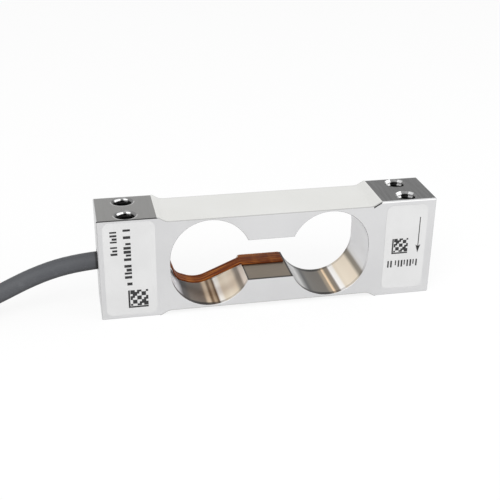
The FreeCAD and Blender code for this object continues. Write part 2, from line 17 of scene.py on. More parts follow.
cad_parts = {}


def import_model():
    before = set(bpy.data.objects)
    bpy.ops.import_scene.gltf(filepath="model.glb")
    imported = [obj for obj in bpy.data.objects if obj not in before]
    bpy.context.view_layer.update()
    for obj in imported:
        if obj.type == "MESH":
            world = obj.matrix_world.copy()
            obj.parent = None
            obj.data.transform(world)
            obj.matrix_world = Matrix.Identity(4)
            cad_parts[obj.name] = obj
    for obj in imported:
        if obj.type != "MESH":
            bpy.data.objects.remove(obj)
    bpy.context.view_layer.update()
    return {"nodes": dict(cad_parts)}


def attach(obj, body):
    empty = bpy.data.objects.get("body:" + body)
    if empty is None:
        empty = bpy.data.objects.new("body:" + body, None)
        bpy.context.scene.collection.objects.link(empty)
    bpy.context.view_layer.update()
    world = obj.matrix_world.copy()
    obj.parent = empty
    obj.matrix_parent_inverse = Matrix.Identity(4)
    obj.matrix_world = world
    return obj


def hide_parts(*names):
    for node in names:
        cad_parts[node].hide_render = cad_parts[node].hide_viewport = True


log = logging.getLogger("load_cell")

MM = 0.001
BODY = "root"
# Sockets of a Mix node that blends colours.
MIX_COLOUR_INPUTS = (6, 7)
MIX_COLOUR_OUTPUT = 2
# Edges of the bent pieces that turn less than this many degrees look smooth.
SOFT_ANGLE = 40.0
# Rounded corners: the least turn in radians, and the largest share of a side that one takes.
LEAST_TURN = 1e-4
CORNER_SHARE = 0.49
# Least cosine that a loop's offset is divided by, so that a sharp corner stays near.
LEAST_COSINE = 0.3
# Part of a noise's range that clouds a tone.
CLOUDY = (0.35, 0.65)
# The cores inside the block: place along Y in the passage, and rise over its middle.
CORE_COLOURS = ("red", "black", "green", "white")
CORE_PLACES = ((0.45, -0.45), (0.45, 0.45), (-0.45, -0.45), (-0.45, 0.45))
Point2 = tuple[float, float]
Point3 = tuple[float, float, float]
Colour = tuple[float, float, float]


class Tone(Enum):
    """Plain colours, as linear red, green and blue."""

    ALUMINIUM = (0.665, 0.665, 0.67)
    COVER = (0.69, 0.69, 0.672)
    LABEL = (0.635, 0.635, 0.635)
    INK = (0.012, 0.012, 0.013)
    POLYIMIDE = (0.48, 0.20, 0.045)
    CONSTANTAN = (0.55, 0.42, 0.30)
    NICKEL = (0.52, 0.50, 0.46)
    COPPER = (0.60, 0.26, 0.14)
    SOLDER = (0.66, 0.67, 0.69)
    POTTING = (0.015, 0.015, 0.016)
    JACKET = (0.067, 0.070, 0.078)
    SLEEVE = (0.020, 0.020, 0.022)
    CORE_RED = (0.50, 0.020, 0.020)
    CORE_BLACK = (0.018, 0.018, 0.020)
    CORE_GREEN = (0.020, 0.22, 0.070)
    CORE_WHITE = (0.74, 0.74, 0.72)


class Value:
    """A socket that carries a number, with arithmetic that adds Math nodes."""

    def __init__(self, graph: "Graph", socket: Any) -> None:
        """Keep the graph and the socket."""
        self.graph = graph
        self.socket = socket

    def _math(self, operation: str, *inputs: Any) -> "Value":
        """Add one Math node.

        Args:
            operation: the node's operation.
            inputs: numbers or values for its sockets, in order.

        Returns:
            The node's result.
        """
        return self.graph.node("ShaderNodeMath", {"operation": operation}, *inputs)

    def __add__(self, other: Any) -> "Value":
        """Sum."""
        return self._math("ADD", self, other)

    __radd__ = __add__

    def __sub__(self, other: Any) -> "Value":
        """Difference."""
        return self._math("SUBTRACT", self, other)

    def __rsub__(self, other: Any) -> "Value":
        """Reflected difference."""
        return self._math("SUBTRACT", other, self)

    def __mul__(self, other: Any) -> "Value":
        """Product."""
        return self._math("MULTIPLY", self, other)

    __rmul__ = __mul__

    def __truediv__(self, other: Any) -> "Value":
        """Quotient."""
        return self._math("DIVIDE", self, other)

    def __rtruediv__(self, other: Any) -> "Value":
        """Reflected quotient."""
        return self._math("DIVIDE", other, self)

    def __gt__(self, other: Any) -> "Value":
        """One where this is greater, else zero."""
        return self._math("GREATER_THAN", self, other)

    def __lt__(self, other: Any) -> "Value":
        """One where this is less, else zero."""
        return self._math("LESS_THAN", self, other)

    def absolute(self) -> "Value":
        """Size without its sign."""
        return self._math("ABSOLUTE", self)

    def sine(self) -> "Value":
        """Sine of an angle in radians."""
        return self._math("SINE", self)

    def power(self, exponent: float) -> "Value":
        """This raised to an exponent."""
        return self._math("POWER", self, exponent)

    def arctan2(self, other: Any) -> "Value":
        """Angle of the point (other, this) in radians."""
        return self._math("ARCTAN2", self, other)

    def around(self, level: float, spread: float) -> "Value":
        """Noise moved to a level, with a spread to either side."""
        return level - spread + self * (2 * spread)

    def map_range(self, low: float, high: float) -> "Value":
        """Smooth rise from zero at low to one at high."""
        return self.graph.node(
            "ShaderNodeMapRange",
            {"interpolation_type": "SMOOTHSTEP"},
            **{"Value": self, "From Min": low, "From Max": high},
        )


class Graph:
    """One node tree, with short ways to add and link its nodes."""

    def __init__(self, tree: bpy.types.NodeTree) -> None:
        """Start from an empty tree."""
        self.tree = tree
        tree.nodes.clear()

    def node(
        self, kind: str, settings: dict[str, Any], *inputs: Any, output: Any = 0, **named: Any
    ) -> Value:
        """Add one node.

        Args:
            kind: the node's type.
            settings: its properties, set first; "stops" fills a colour ramp.
            inputs: values or links for its first sockets, in order.
            output: name or number of the output to return.
            named: values or links for sockets by name.

        Returns:
            The wanted output, or the first input of a node that has no output.
        """
        made = self.tree.nodes.new(kind)
        for name, value in settings.items():
            if name == "stops":
                self._set_stops(made.color_ramp, value)
            elif name == "ramp_interpolation":
                made.color_ramp.interpolation = value
            else:
                setattr(made, name, value)
        for place, value in list(enumerate(inputs)) + list(named.items()):
            self._feed(made.inputs[place], value)
        return Value(self, made.outputs[output] if made.outputs else made.inputs[0])

    def _feed(self, socket: Any, value: Any) -> None:
        """Link a value to a socket, or set the socket to it.

        Args:
            socket: the input that is fed.
            value: a value, tone, colour or number.
        """
        if isinstance(value, Value):
            self.tree.links.new(value.socket, socket)
        elif isinstance(value, Tone):
            socket.default_value = (*value.value, 1.0)
        elif isinstance(value, tuple) and socket.type == "RGBA":
            socket.default_value = (*value[:3], 1.0)
        else:
            socket.default_value = value

    @staticmethod
    def _set_stops(ramp: bpy.types.ColorRamp, stops: Sequence[tuple[float, Colour]]) -> None:
        """Fill a colour ramp.

        Args:
            ramp: the node's ramp.
            stops: its (position, colour) stops, in order.
        """
        while len(ramp.elements) < len(stops):
            ramp.elements.new(1.0)
        for element, (position, colour) in zip(ramp.elements, stops):
            element.position = position
            element.color = (*colour, 1.0)

    def place(self) -> Value:
        """Place on the object, in metres."""
        return self.node("ShaderNodeTexCoord", {}, output="Object")

    def axis(self, name: str) -> Value:
        """One coordinate of the place on the object, in millimetres."""
        return self.node("ShaderNodeSeparateXYZ", {}, self.place(), output=name) * (1 / MM)

    def stretched(self, scale: tuple[float, float, float]) -> Value:
        """Place on the object, stretched along its axes for a texture."""
        return self.node(
            "ShaderNodeVectorMath", {"operation": "MULTIPLY"}, self.place(), scale
        )

    def noise(self, scale: float, detail: float = 2.0, vector: Value | None = None) -> Value:
        """Noise between about 0.3 and 0.7, with scale in cells per metre."""
        return self.node(
            "ShaderNodeTexNoise",
            {},
            **{"Vector": vector or self.place(), "Scale": scale, "Detail": detail},
        )

    def mix(self, factor: Any, first: Any, second: Any) -> Value:
        """Blend of two colours.

        Args:
            factor: share of the second colour.
            first: the colour at zero.
            second: the colour at one.

        Returns:
            The blended colour.
        """
        made = self.node("ShaderNodeMix", {"data_type": "RGBA"}, factor, output=MIX_COLOUR_OUTPUT)
        for place, colour in zip(MIX_COLOUR_INPUTS, (first, second)):
            self._feed(made.socket.node.inputs[place], colour)
        return made

    def ramp(self, factor: Value, stops: Sequence[tuple[float, Colour]]) -> Value:
        """Colour ramp over a factor."""
        return self.node(
            "ShaderNodeValToRGB", {"ramp_interpolation": "LINEAR", "stops": stops}, factor
        )

    def bump(self, height: Value, distance: float, strength: float) -> Value:
        """Normal bent by a height, with distance in metres."""
        return self.node(
            "ShaderNodeBump",
            {},
            output="Normal",
            **{"Strength": strength, "Distance": distance, "Height": height},
        )

    def finish_surface(
        self,
        colour: Value,
        roughness: Value,
        normal: Value,
        metallic: float = 0.0,
        specular: float = 0.5,
        coat: float = 0.0,
    ) -> None:
        """Add the Principled shader and the output.

        Args:
            colour: its base colour.
            roughness: its roughness.
            normal: its normal.
            metallic: how far it is a metal.
            specular: level of its plain reflections.
            coat: weight of its clear coat.
        """
        sockets = {
            "Base Color": colour,
            "Metallic": metallic,
            "Roughness": roughness,
            "Normal": normal,
            "Specular IOR Level": specular,
            "Coat Weight": coat,
        }
        shader = self.node("ShaderNodeBsdfPrincipled", {}, **sockets)
        self.node("ShaderNodeOutputMaterial", {}, shader)


def new_material(name: str, build: Callable[[Graph], None]) -> bpy.types.Material:
    """Make one material.

    Args:
        name: the material's name.
        build: fills its graph.

    Returns:
        The material.
    """
    material = bpy.data.materials.new(name)
    material.use_nodes = True
    build(Graph(material.node_tree))
    return material


@dataclass(frozen=True)
class Finish:
    """Any finish: a named material that each finish fills in its own way."""

    name: str

    def make(self) -> bpy.types.Material:
        """Return the material."""
        return new_material(self.name, self._build)

    def _build(self, graph: Graph) -> None:
        """Fill the material's graph."""
        raise NotImplementedError


@dataclass(frozen=True)
class SatinAluminium(Finish):
    """Fine satin faces of the beam, with faint lines along X.

    The right block's upper edge carries a painted highlight, and a short painted shadow line runs
    along its ramp.
    """

    name: str = "satin_aluminium"
    tone: Tone = Tone.ALUMINIUM
    cloud_tone: Colour = (0.625, 0.625, 0.63)
    # Painted highlight tone for the right block's upper edge, and the tone of the painted shadow
    # line along its ramp.
    highlight_tone: Colour = (1.0, 1.0, 1.0)
    line_tone: Colour = (0.03, 0.03, 0.03)
    roughness: float = 0.36
    variation: float = 0.05
    metallic: float = 0.82
    line_scale: Point3 = (90.0, 2200.0, 3200.0)
    line_bump: Point2 = (0.000004, 0.35)
    cloud_scale: float = 60.0
    cloud_range: Point2 = (0.3, 0.7)
    highlight_z: Point2 = (24.5, 24.62)
    block_edge_x: float = 26.4
    ramp_foot_x: float = 24.5
    ramp_top: Point2 = (26.5, 25.0)
    ramp_slope: float = 0.6
    shadow_line_depth: Point2 = (0.28, 0.5)

    def _build(self, graph: Graph) -> None:
        """Brushed lines, cloudy tone, a fine grain, the painted highlight and the painted shadow
        line.

        Args:
            graph: the material's graph.
        """
        lines = graph.noise(1.0, 3.0, graph.stretched(self.line_scale))
        clouds = graph.noise(self.cloud_scale, 3.0)
        colour = graph.mix(clouds.map_range(*self.cloud_range), self.tone, self.cloud_tone)
        x, z = graph.axis("X"), graph.axis("Z")
        # Painted highlight on the right block's faces, just below its top edge.
        painted_highlight = z.map_range(*self.highlight_z) * (x > self.block_edge_x)
        colour = graph.mix(painted_highlight, colour, self.highlight_tone)
        # Painted shadow: a short dark line on the front face along the right block's ramp.
        top_x, top_z = self.ramp_top
        below_ramp = top_z - (top_x - x) * self.ramp_slope - z
        shaded_ramp = (x > self.ramp_foot_x) * (x < self.block_edge_x) * (graph.axis("Y") < 0.0)
        line = (1.0 - below_ramp.map_range(*self.shadow_line_depth)) * shaded_ramp
        colour = graph.mix(line, colour, self.line_tone)
        graph.finish_surface(
            colour=colour,
            roughness=lines.around(self.roughness, self.variation),
            normal=graph.bump(lines, *self.line_bump),
            metallic=self.metallic,
        )


@dataclass(frozen=True)
class MilledAluminium(Finish):
    """Milled tops and feet of the end blocks, with fine cutter lines across the beam, in a darker
    tone that is painted shade.
    """

    name: str = "milled_aluminium"
    # Painted shade: the blocks' tops and feet are darker than the faces, the right block darker
    # still.
    left_shaded_tone: Colour = (0.25, 0.247, 0.240)
    right_shaded_tone: Colour = (0.105, 0.105, 0.105)
    line_tone: Colour = (0.36, 0.36, 0.36)
    # Painted highlight ring round the left holes, on their front side.
    ring_highlight_tone: Colour = (0.66, 0.66, 0.66)
    roughness: float = 0.36
    variation: float = 0.04
    metallic: float = 0.9
    mark_scale: Point3 = (2600.0, 120.0, 120.0)
    mark_range: Point2 = (0.25, 0.75)
    mark_share: float = 0.22
    line_bump: Point2 = (0.000003, 0.3)
    wave_share: float = 0.10
    line_pitch: float = 0.42
    hole_x: float = 33.35
    hole_y: float = 3.95
    ring_radius: float = 2.72
    ring_half_width: Point2 = (0.05, 0.2)
    ring_highlight_share: float = 0.6

    def _build(self, graph: Graph) -> None:
        """Cutter lines, their uneven depth, the painted shade that makes the right block darker,
        and the painted highlight rings at the left holes.

        Args:
            graph: the material's graph.
        """
        x, y = graph.axis("X"), graph.axis("Y")
        wave = (x * (2 * math.pi / self.line_pitch)).sine()
        uneven = graph.noise(1.0, 3.0, graph.stretched(self.mark_scale))
        lines = wave * self.wave_share + uneven
        # Painted shade: the darker tone of the blocks, darkest on the right.
        block = graph.mix(x > 0.0, self.left_shaded_tone, self.right_shaded_tone)
        marks = uneven.map_range(*self.mark_range) * self.mark_share
        colour = graph.mix(marks, block, self.line_tone)
        # Painted highlight ring at the front edge of the left holes.
        across = x + self.hole_x
        along = y - ((y > 0.0) * 2 - 1) * self.hole_y
        reach = (across * across + along * along).power(0.5)
        ring = 1.0 - (reach - self.ring_radius).absolute().map_range(*self.ring_half_width)
        colour = graph.mix(ring * (along < 0.0) * self.ring_highlight_share, colour, self.ring_highlight_tone)
        graph.finish_surface(
            colour=colour,
            roughness=uneven.around(self.roughness, self.variation),
            normal=graph.bump(lines, *self.line_bump),
            metallic=self.metallic,
        )


@dataclass(frozen=True)
class CutEdge(Finish):
    """Fine chamfers and deburred rims: painted highlights below, at the ends and on the right
    block's top, painted shade above, on the right ramp and on the left block's top.
    """

    name: str = "cut_edge"
    # Painted highlight, painted shade on the upper rims, and deeper painted shade.
    bright: Colour = (0.56, 0.56, 0.565)
    grey: Colour = (0.13, 0.13, 0.135)
    dark: Colour = (0.045, 0.045, 0.045)
    roughness: float = 0.42
    variation: float = 0.08
    metallic: float = 0.5
    specular: float = 0.1
    grain_scale: float = 700.0
    grain_bump: Point2 = (0.000002, 0.3)
    middle_z: float = 12.5
    blend_z: Point2 = (-2.0, 2.0)
    ramp_z: float = 23.8
    top_z: float = 24.7
    ramp_x: float = 24.4
    block_x: float = 26.5
    end_x: float = 39.7

    def _build(self, graph: Graph) -> None:
        """Painted highlight and shade by height and side, broken up along the edge.

        Args:
            graph: the material's graph.
        """
        x, z = graph.axis("X"), graph.axis("Z")
        uneven = graph.noise(self.grain_scale)
        # Painted highlight below the middle and at the ends, painted shade above.
        upper = (z - self.middle_z).map_range(*self.blend_z) * (x.absolute() < self.end_x)
        rims = graph.mix(upper, self.bright, self.grey)
        # Painted shade along the right ramp and the left block's top edge, painted highlight on the
        # right block's top edge.
        outer = graph.mix(x > self.block_x, self.dark, self.bright)
        shaded_ramp = (x > self.ramp_x) * (x < self.block_x) * (z > self.ramp_z)
        painted_top_edge = (x.absolute() > self.block_x) * (z > self.top_z)
        colour = graph.mix(shaded_ramp + painted_top_edge, rims, outer)
        graph.finish_surface(
            colour=colour,
            roughness=uneven.around(self.roughness, self.variation),
            normal=graph.bump(uneven, *self.grain_bump),
            metallic=self.metallic,
            specular=self.specular,
        )


# Painted reflections and shade in each bore, as bands of tone: degrees round its axis, and colour.
LEFT_BORE_REFLECTIONS: tuple[tuple[float, Colour], ...] = (
    (0, (0.66, 0.65, 0.63)),
    (150, (0.92, 0.93, 0.95)),
    (200, (0.95, 0.97, 1.0)),
    (215, (0.86, 0.88, 0.92)),
    (223, (0.50, 0.50, 0.53)),
    (229, (0.045, 0.042, 0.042)),
    (237, (0.075, 0.064, 0.055)),
    (242, (0.15, 0.122, 0.098)),
    (260, (0.165, 0.132, 0.105)),
    (264, (0.20, 0.155, 0.118)),
    (266.5, (0.62, 0.49, 0.35)),
    (270.5, (0.70, 0.56, 0.41)),
    (272.5, (0.19, 0.12, 0.062)),
    (275, (0.17, 0.10, 0.05)),
    (277, (0.50, 0.37, 0.25)),
    (279.5, (0.44, 0.32, 0.20)),
    (281, (0.14, 0.085, 0.042)),
    (283, (0.19, 0.115, 0.06)),
    (284.5, (1.0, 0.97, 0.92)),
    (290, (0.96, 0.91, 0.83)),
    (293, (0.80, 0.70, 0.55)),
    (303, (0.90, 0.80, 0.65)),
    (314, (0.85, 0.73, 0.57)),
    (320, (0.30, 0.255, 0.205)),
    (325, (0.27, 0.23, 0.185)),
    (329, (0.80, 0.70, 0.61)),
    (338, (0.74, 0.66, 0.58)),
    (360, (0.66, 0.65, 0.63)),
)

RIGHT_BORE_REFLECTIONS: tuple[tuple[float, Colour], ...] = (
    (0, (0.76, 0.76, 0.77)),
    (120, (0.76, 0.76, 0.77)),
    (180, (0.30, 0.30, 0.30)),
    (196, (0.10, 0.10, 0.10)),
    (210, (0.15, 0.15, 0.15)),
    (217, (0.46, 0.46, 0.46)),
    (232, (0.62, 0.62, 0.62)),
    (238, (0.30, 0.30, 0.30)),
    (245, (0.045, 0.045, 0.045)),
    (252, (0.145, 0.135, 0.12)),
    (274, (0.17, 0.155, 0.135)),
    (277, (0.34, 0.28, 0.21)),
    (280.3, (0.40, 0.33, 0.24)),
    (281.3, (0.94, 0.71, 0.48)),
    (283.3, (0.90, 0.68, 0.46)),
    (284.6, (0.27, 0.22, 0.165)),
    (290.5, (0.23, 0.195, 0.16)),
    (292.5, (1.0, 0.98, 0.96)),
    (298, (0.97, 0.94, 0.90)),
    (301, (0.82, 0.72, 0.58)),
    (306, (0.88, 0.78, 0.64)),
    (323, (0.84, 0.73, 0.59)),
    (328, (0.26, 0.23, 0.185)),
    (333, (0.25, 0.22, 0.18)),
    (337, (0.70, 0.69, 0.68)),
    (345, (0.76, 0.76, 0.77)),
    (360, (0.76, 0.76, 0.77)),
)


@dataclass(frozen=True)
class BoreWall(Finish):
    """Bright bored walls: painted reflections and shade as streaks along the bore, in warm and dark
    tones round its axis.

    The tones are given by degrees round the axis, from the right side anticlockwise as seen from
    the front.
    """

    name: str = "bright_bore"
    bore_x: float = 14.25
    middle_z: float = 12.5
    reach_z: float = 1.46
    roughness: float = 0.305
    variation: float = 0.035
    metallic: float = 0.45
    specular: float = 0.2
    wobble_scale: Point3 = (120.0, 60.0, 120.0)
    wobble_share: float = 0.006
    mark_scale: Point3 = (260.0, 5200.0, 260.0)
    mark_range: Point2 = (0.4, 0.6)
    mark_share: float = 0.5
    mark_bump: Point2 = (0.0000012, 0.3)
    slot_x: float = 5.45
    slot_end: Point2 = (4.95, 5.3)
    slot_edge_y: Point2 = (5.9, 6.3)
    rim_y: Point2 = (5.75, 6.05)
    rim_growth: float = 0.4
    rim_growth_x: Point2 = (-2.0, 4.0)
    rim_fade_x: Point2 = (-1.0, 5.0)
    rim_fade_z: Point2 = (7.5, 10.8)
    rim_share: float = 0.94
    rim_fade: float = 0.68
    # Painted shade: the slot's floor and ceiling darker than the bores, darker still at its ends
    # and edges, and a near-black painted shade line at the bores' mouths.
    shaded_floor_tone: Colour = (0.19, 0.158, 0.122)
    floor_line: Colour = (0.25, 0.20, 0.15)
    floor_edge_shade: Colour = (0.030, 0.027, 0.024)
    rim_shade_tone: Colour = (0.016, 0.014, 0.012)

    def _reflection_tones(self, graph: Graph, side: int, tones: Sequence[tuple[float, Colour]]) -> Value:
        """Painted reflections and shade of one bore, as colour by the angle round its lower or
        upper arc.

        Args:
            graph: the material's graph.
            side: -1 for the left bore and 1 for the right one.
            tones: degrees and colours.

        Returns:
            The colour.
        """
        rise = graph.axis("Z") - self.middle_z
        from_arc = rise + self.reach_z - (rise > 0.0) * (2 * self.reach_z)
        angle = from_arc.arctan2(graph.axis("X") - side * self.bore_x)
        wobble = graph.noise(1.0, 2.0, graph.stretched(self.wobble_scale)) - 0.5
        share = angle / (2 * math.pi) + wobble * self.wobble_share
        stops = [(degrees / 360, colour) for degrees, colour in tones]
        return graph.ramp(share + (share < 0.0), stops)

    def _rim_shade(self, graph: Graph) -> Value:
        """Share of the painted shade line at both mouths, wider and darker at the left foot of each
        bore.

        Args:
            graph: the material's graph.

        Returns:
            The share.
        """
        x = graph.axis("X")
        across = x - ((x > 0.0) * 2.0 - 1.0) * self.bore_x
        wider = (1.0 - across.map_range(*self.rim_growth_x)) * self.rim_growth
        low = 1.0 - graph.axis("Z").map_range(*self.rim_fade_z)
        line = (graph.axis("Y").absolute() + wider).map_range(*self.rim_y) * low
        return line * (self.rim_share - across.map_range(*self.rim_fade_x) * self.rim_fade)

    def _build(self, graph: Graph) -> None:
        """One ramp of painted reflections for each bore, the painted shade line at the mouths, the
        slot's floor and ceiling in painted shade, and fine boring marks.

        Args:
            graph: the material's graph.
        """
        x = graph.axis("X")
        # Painted reflections and shade of each bore.
        left = self._reflection_tones(graph, -1, LEFT_BORE_REFLECTIONS)
        right = self._reflection_tones(graph, 1, RIGHT_BORE_REFLECTIONS)
        # Painted shade line at the mouths, over the painted reflections.
        bores = graph.mix(self._rim_shade(graph), graph.mix(x > 0.0, left, right), self.rim_shade_tone)
        marks = graph.noise(1.0, 2.0, graph.stretched(self.mark_scale))
        streaks = marks.map_range(*self.mark_range) * self.mark_share
        stripes = graph.mix(streaks, self.shaded_floor_tone, self.floor_line)
        # Painted shade at the slot's ends and at its front and back edges.
        ends = x.absolute().map_range(*self.slot_end)
        front = graph.axis("Y").absolute().map_range(*self.slot_edge_y)
        slot = graph.mix(ends + front - ends * front, stripes, self.floor_edge_shade)
        graph.finish_surface(
            colour=graph.mix(x.absolute() < self.slot_x, bores, slot),
            roughness=marks.around(self.roughness, self.variation),
            normal=graph.bump(marks, *self.mark_bump),
            metallic=self.metallic,
            specular=self.specular,
        )


@dataclass(frozen=True)
class HoleWall(Finish):
    """Threads of the mounting holes: painted highlight crescents at the mouth and painted shade
    further down.

    A painted glint is given by its angle round the hole in radians, its half angle and its
    strength, which is full over a share of that half angle.
    """

    name: str = "thread_wall"
    height: float = 25.0
    hole_x: float = 33.35
    hole_y: float = 3.95
    # Painted shade: grey at the mouth and near black further down; painted highlight for the
    # glints.
    mouth: Colour = (0.22, 0.22, 0.22)
    glint: Colour = (0.95, 0.95, 0.95)
    dark: Colour = (0.010, 0.010, 0.010)
    shade_depth: Point2 = (0.3, 0.8)
    left_glint_top: Point2 = (0.2, 0.35)
    left_glint_foot: Point2 = (0.85, 1.05)
    right_glint_foot: Point2 = (1.5, 1.9)
    roughness: float = 0.41
    variation: float = 0.05
    metallic: float = 0.5
    specular: float = 0.1
    grain_scale: float = 2500.0
    grain_bump: Point2 = (0.000002, 0.3)
    full_share: float = 0.8
    left_glints: tuple[Point3, ...] = ((2.05, 0.42, 1.0), (1.12, 0.25, 1.0))
    right_glints: tuple[Point3, ...] = ((2.12, 0.42, 1.0), (0.70, 0.30, 0.55))

    def _build(self, graph: Graph) -> None:
        """Painted shade by depth below the nearer mouth, and painted glints by the angle round the
        hole.

        Args:
            graph: the material's graph.
        """
        x, y = graph.axis("X"), graph.axis("Y")
        middle = self.height / 2
        depth = middle - (graph.axis("Z") - middle).absolute()
        is_right = x > 0.0
        across = x - (is_right * 2 - 1) * self.hole_x
        angle = (y - ((y > 0.0) * 2 - 1) * self.hole_y).arctan2(across)
        left_top = depth.map_range(*self.left_glint_top)
        left_depth = left_top * (1.0 - depth.map_range(*self.left_glint_foot))
        right_depth = 1.0 - depth.map_range(*self.right_glint_foot)
        # Painted glints.
        left = self._arcs(angle, self.left_glints) * left_depth * (1.0 - is_right)
        right = self._arcs(angle, self.right_glints) * right_depth * is_right
        # Painted shade deeper in the hole.
        wall = graph.mix(depth.map_range(*self.shade_depth), self.mouth, self.dark)
        grain = graph.noise(self.grain_scale)
        graph.finish_surface(
            colour=graph.mix(left + right, wall, self.glint),
            roughness=grain.around(self.roughness, self.variation),
            normal=graph.bump(grain, *self.grain_bump),
            metallic=self.metallic,
            specular=self.specular,
        )

    def _arcs(self, angle: Value, glints: Sequence[Point3]) -> Value:
        """Share that reaches each glint's strength in its arc and falls off softly at its ends.

        Args:
            angle: the angle round the hole, in radians.
            glints: angle, half angle and strength of each arc.

        Returns:
            The sum of the arcs' shares.
        """
        arcs = [
            (1.0 - (angle - middle).absolute().map_range(half * self.full_share, half)) * strength
            for middle, half, strength in glints
        ]
        return sum(arcs[1:], arcs[0])


@dataclass(frozen=True)
class Plastic(Finish):
    """Plastic, film or rubber with a faint grain and cloudy tone."""

    tone: Tone
    roughness: float = 0.45
    variation: float = 0.04
    grain_scale: float = 1800.0
    grain_height: float = 0.000004
    grain_strength: float = 0.5
    cloud_scale: float = 140.0
    clouds: float = 0.06
    coat: float = 0.0

    def _build(self, graph: Graph) -> None:
        """Cloudy tone, uneven gloss and a fine grain.

        Args:
            graph: the material's graph.
        """
        grain = graph.noise(self.grain_scale, 3.0)
        clouds = graph.noise(self.cloud_scale)
        darker = tuple(channel * (1.0 - 2.0 * self.clouds) for channel in self.tone.value)
        colour = graph.mix(clouds.map_range(*CLOUDY), self.tone, darker)
        graph.finish_surface(
            colour=colour,
            roughness=grain.around(self.roughness, self.variation),
            normal=graph.bump(grain, self.grain_height, self.grain_strength),
            coat=self.coat,
        )


@dataclass(frozen=True)
class Metal(Finish):
    """Small metal parts: foil, wire and solder."""

    tone: Tone
    roughness: float = 0.28
    variation: float = 0.05
    dark_share: float = 0.82
    grain_scale: float = 2600.0
    grain_bump: Point2 = (0.000003, 0.4)

    def _build(self, graph: Graph) -> None:
        """Uneven tone and gloss.

        Args:
            graph: the material's graph.
        """
        grain = graph.noise(self.grain_scale, 3.0)
        darker = tuple(channel * self.dark_share for channel in self.tone.value)
        graph.finish_surface(
            colour=graph.mix(grain.map_range(*CLOUDY), self.tone, darker),
            roughness=grain.around(self.roughness, self.variation),
            normal=graph.bump(grain, *self.grain_bump),
            metallic=1.0,
        )


@dataclass(frozen=True)
class FlexFilm(Finish):
    """Amber film of the flex circuit, over copper lines with painted glints along them."""

    name: str = "flex_film"
    front_y: float = 1.2
    line_pitch: float = 0.975
    pad_z: float = 7.6
    pad_x: float = -5.4
    line_share: float = 0.55
    line_edge: Point2 = (0.2, 0.8)
    line_bump: Point2 = (0.00003, 0.5)
    streak_scale: Point3 = (110.0, 1900.0, 110.0)
    streak_range: Point2 = (0.48, 0.66)
    glint_streak_share: float = 0.75
    patch_scale: Point3 = (300.0, 40.0, 300.0)
    patch_range: Point2 = (0.5, 0.75)
    glint_patch_share: float = 0.4
    roughness: float = 0.40
    variation: float = 0.06
    specular: float = 0.04
    film: Colour = (0.195, 0.038, 0.004)
    glint: Colour = (0.66, 0.23, 0.040)
    # Dark between the copper lines, and the painted shade on the pad's sides.
    gap: Colour = (0.060, 0.015, 0.005)

    def _build(self, graph: Graph) -> None:
        """Lengthwise lines, uneven painted glints along the film, and painted shade on the pad's
        sides.

        Args:
            graph: the material's graph.
        """
        phase = (graph.axis("Y") - self.front_y) * (2 * math.pi / self.line_pitch)
        lines = (phase.sine() * 0.5 + 0.5).map_range(*self.line_edge)
        # Painted glints: thin streaks and wide patches in the glint tone.
        streaks = graph.noise(1.0, 3.0, graph.stretched(self.streak_scale))
        patches = graph.noise(1.0, 2.0, graph.stretched(self.patch_scale))
        thin = streaks.map_range(*self.streak_range) * self.glint_streak_share
        wide = patches.map_range(*self.patch_range) * self.glint_patch_share
        film = graph.mix(wide, graph.mix(thin, self.film, self.glint), self.glint)
        # Painted shade on the pad's sides, in the gap tone.
        side = (graph.axis("Z") < self.pad_z) * (graph.axis("X") > self.pad_x)
        gaps = lines * self.line_share
        graph.finish_surface(
            colour=graph.mix(gaps + side - gaps * side, film, self.gap),
            roughness=patches.around(self.roughness, self.variation),
            normal=graph.bump(lines, *self.line_bump),
            specular=self.specular,
        )


@dataclass(frozen=True)
class CoverFilm(Finish):
    """White film over the gauges, grey along its cut edges."""

    name: str = "white_cover"
    tone: Tone = Tone.COVER
    cloud_tone: Colour = (0.655, 0.655, 0.632)
    edge_tone: Colour = (0.36, 0.36, 0.355)
    edge_y: Point2 = (6.63, 6.81)
    edge_share: float = 0.8
    cloud_share: float = 0.6
    cloud_scale: float = 45.0
    grain_scale: float = 900.0
    crease: float = 2.0
    grain_bump: Point2 = (0.00001, 0.4)
    roughness: float = 0.50
    variation: float = 0.04

    def _build(self, graph: Graph) -> None:
        """Faint clouds and creases, and the grey cut edge.

        Args:
            graph: the material's graph.
        """
        clouds = graph.noise(self.cloud_scale, 3.0)
        grain = graph.noise(self.grain_scale, 3.0)
        edge = graph.axis("Y").absolute().map_range(*self.edge_y)
        cloudy = clouds.map_range(*CLOUDY) * self.cloud_share
        film = graph.mix(cloudy, self.tone, self.cloud_tone)
        graph.finish_surface(
            colour=graph.mix(edge * self.edge_share, film, self.edge_tone),
            roughness=grain.around(self.roughness, self.variation),
            normal=graph.bump(grain + clouds * self.crease, *self.grain_bump),
        )


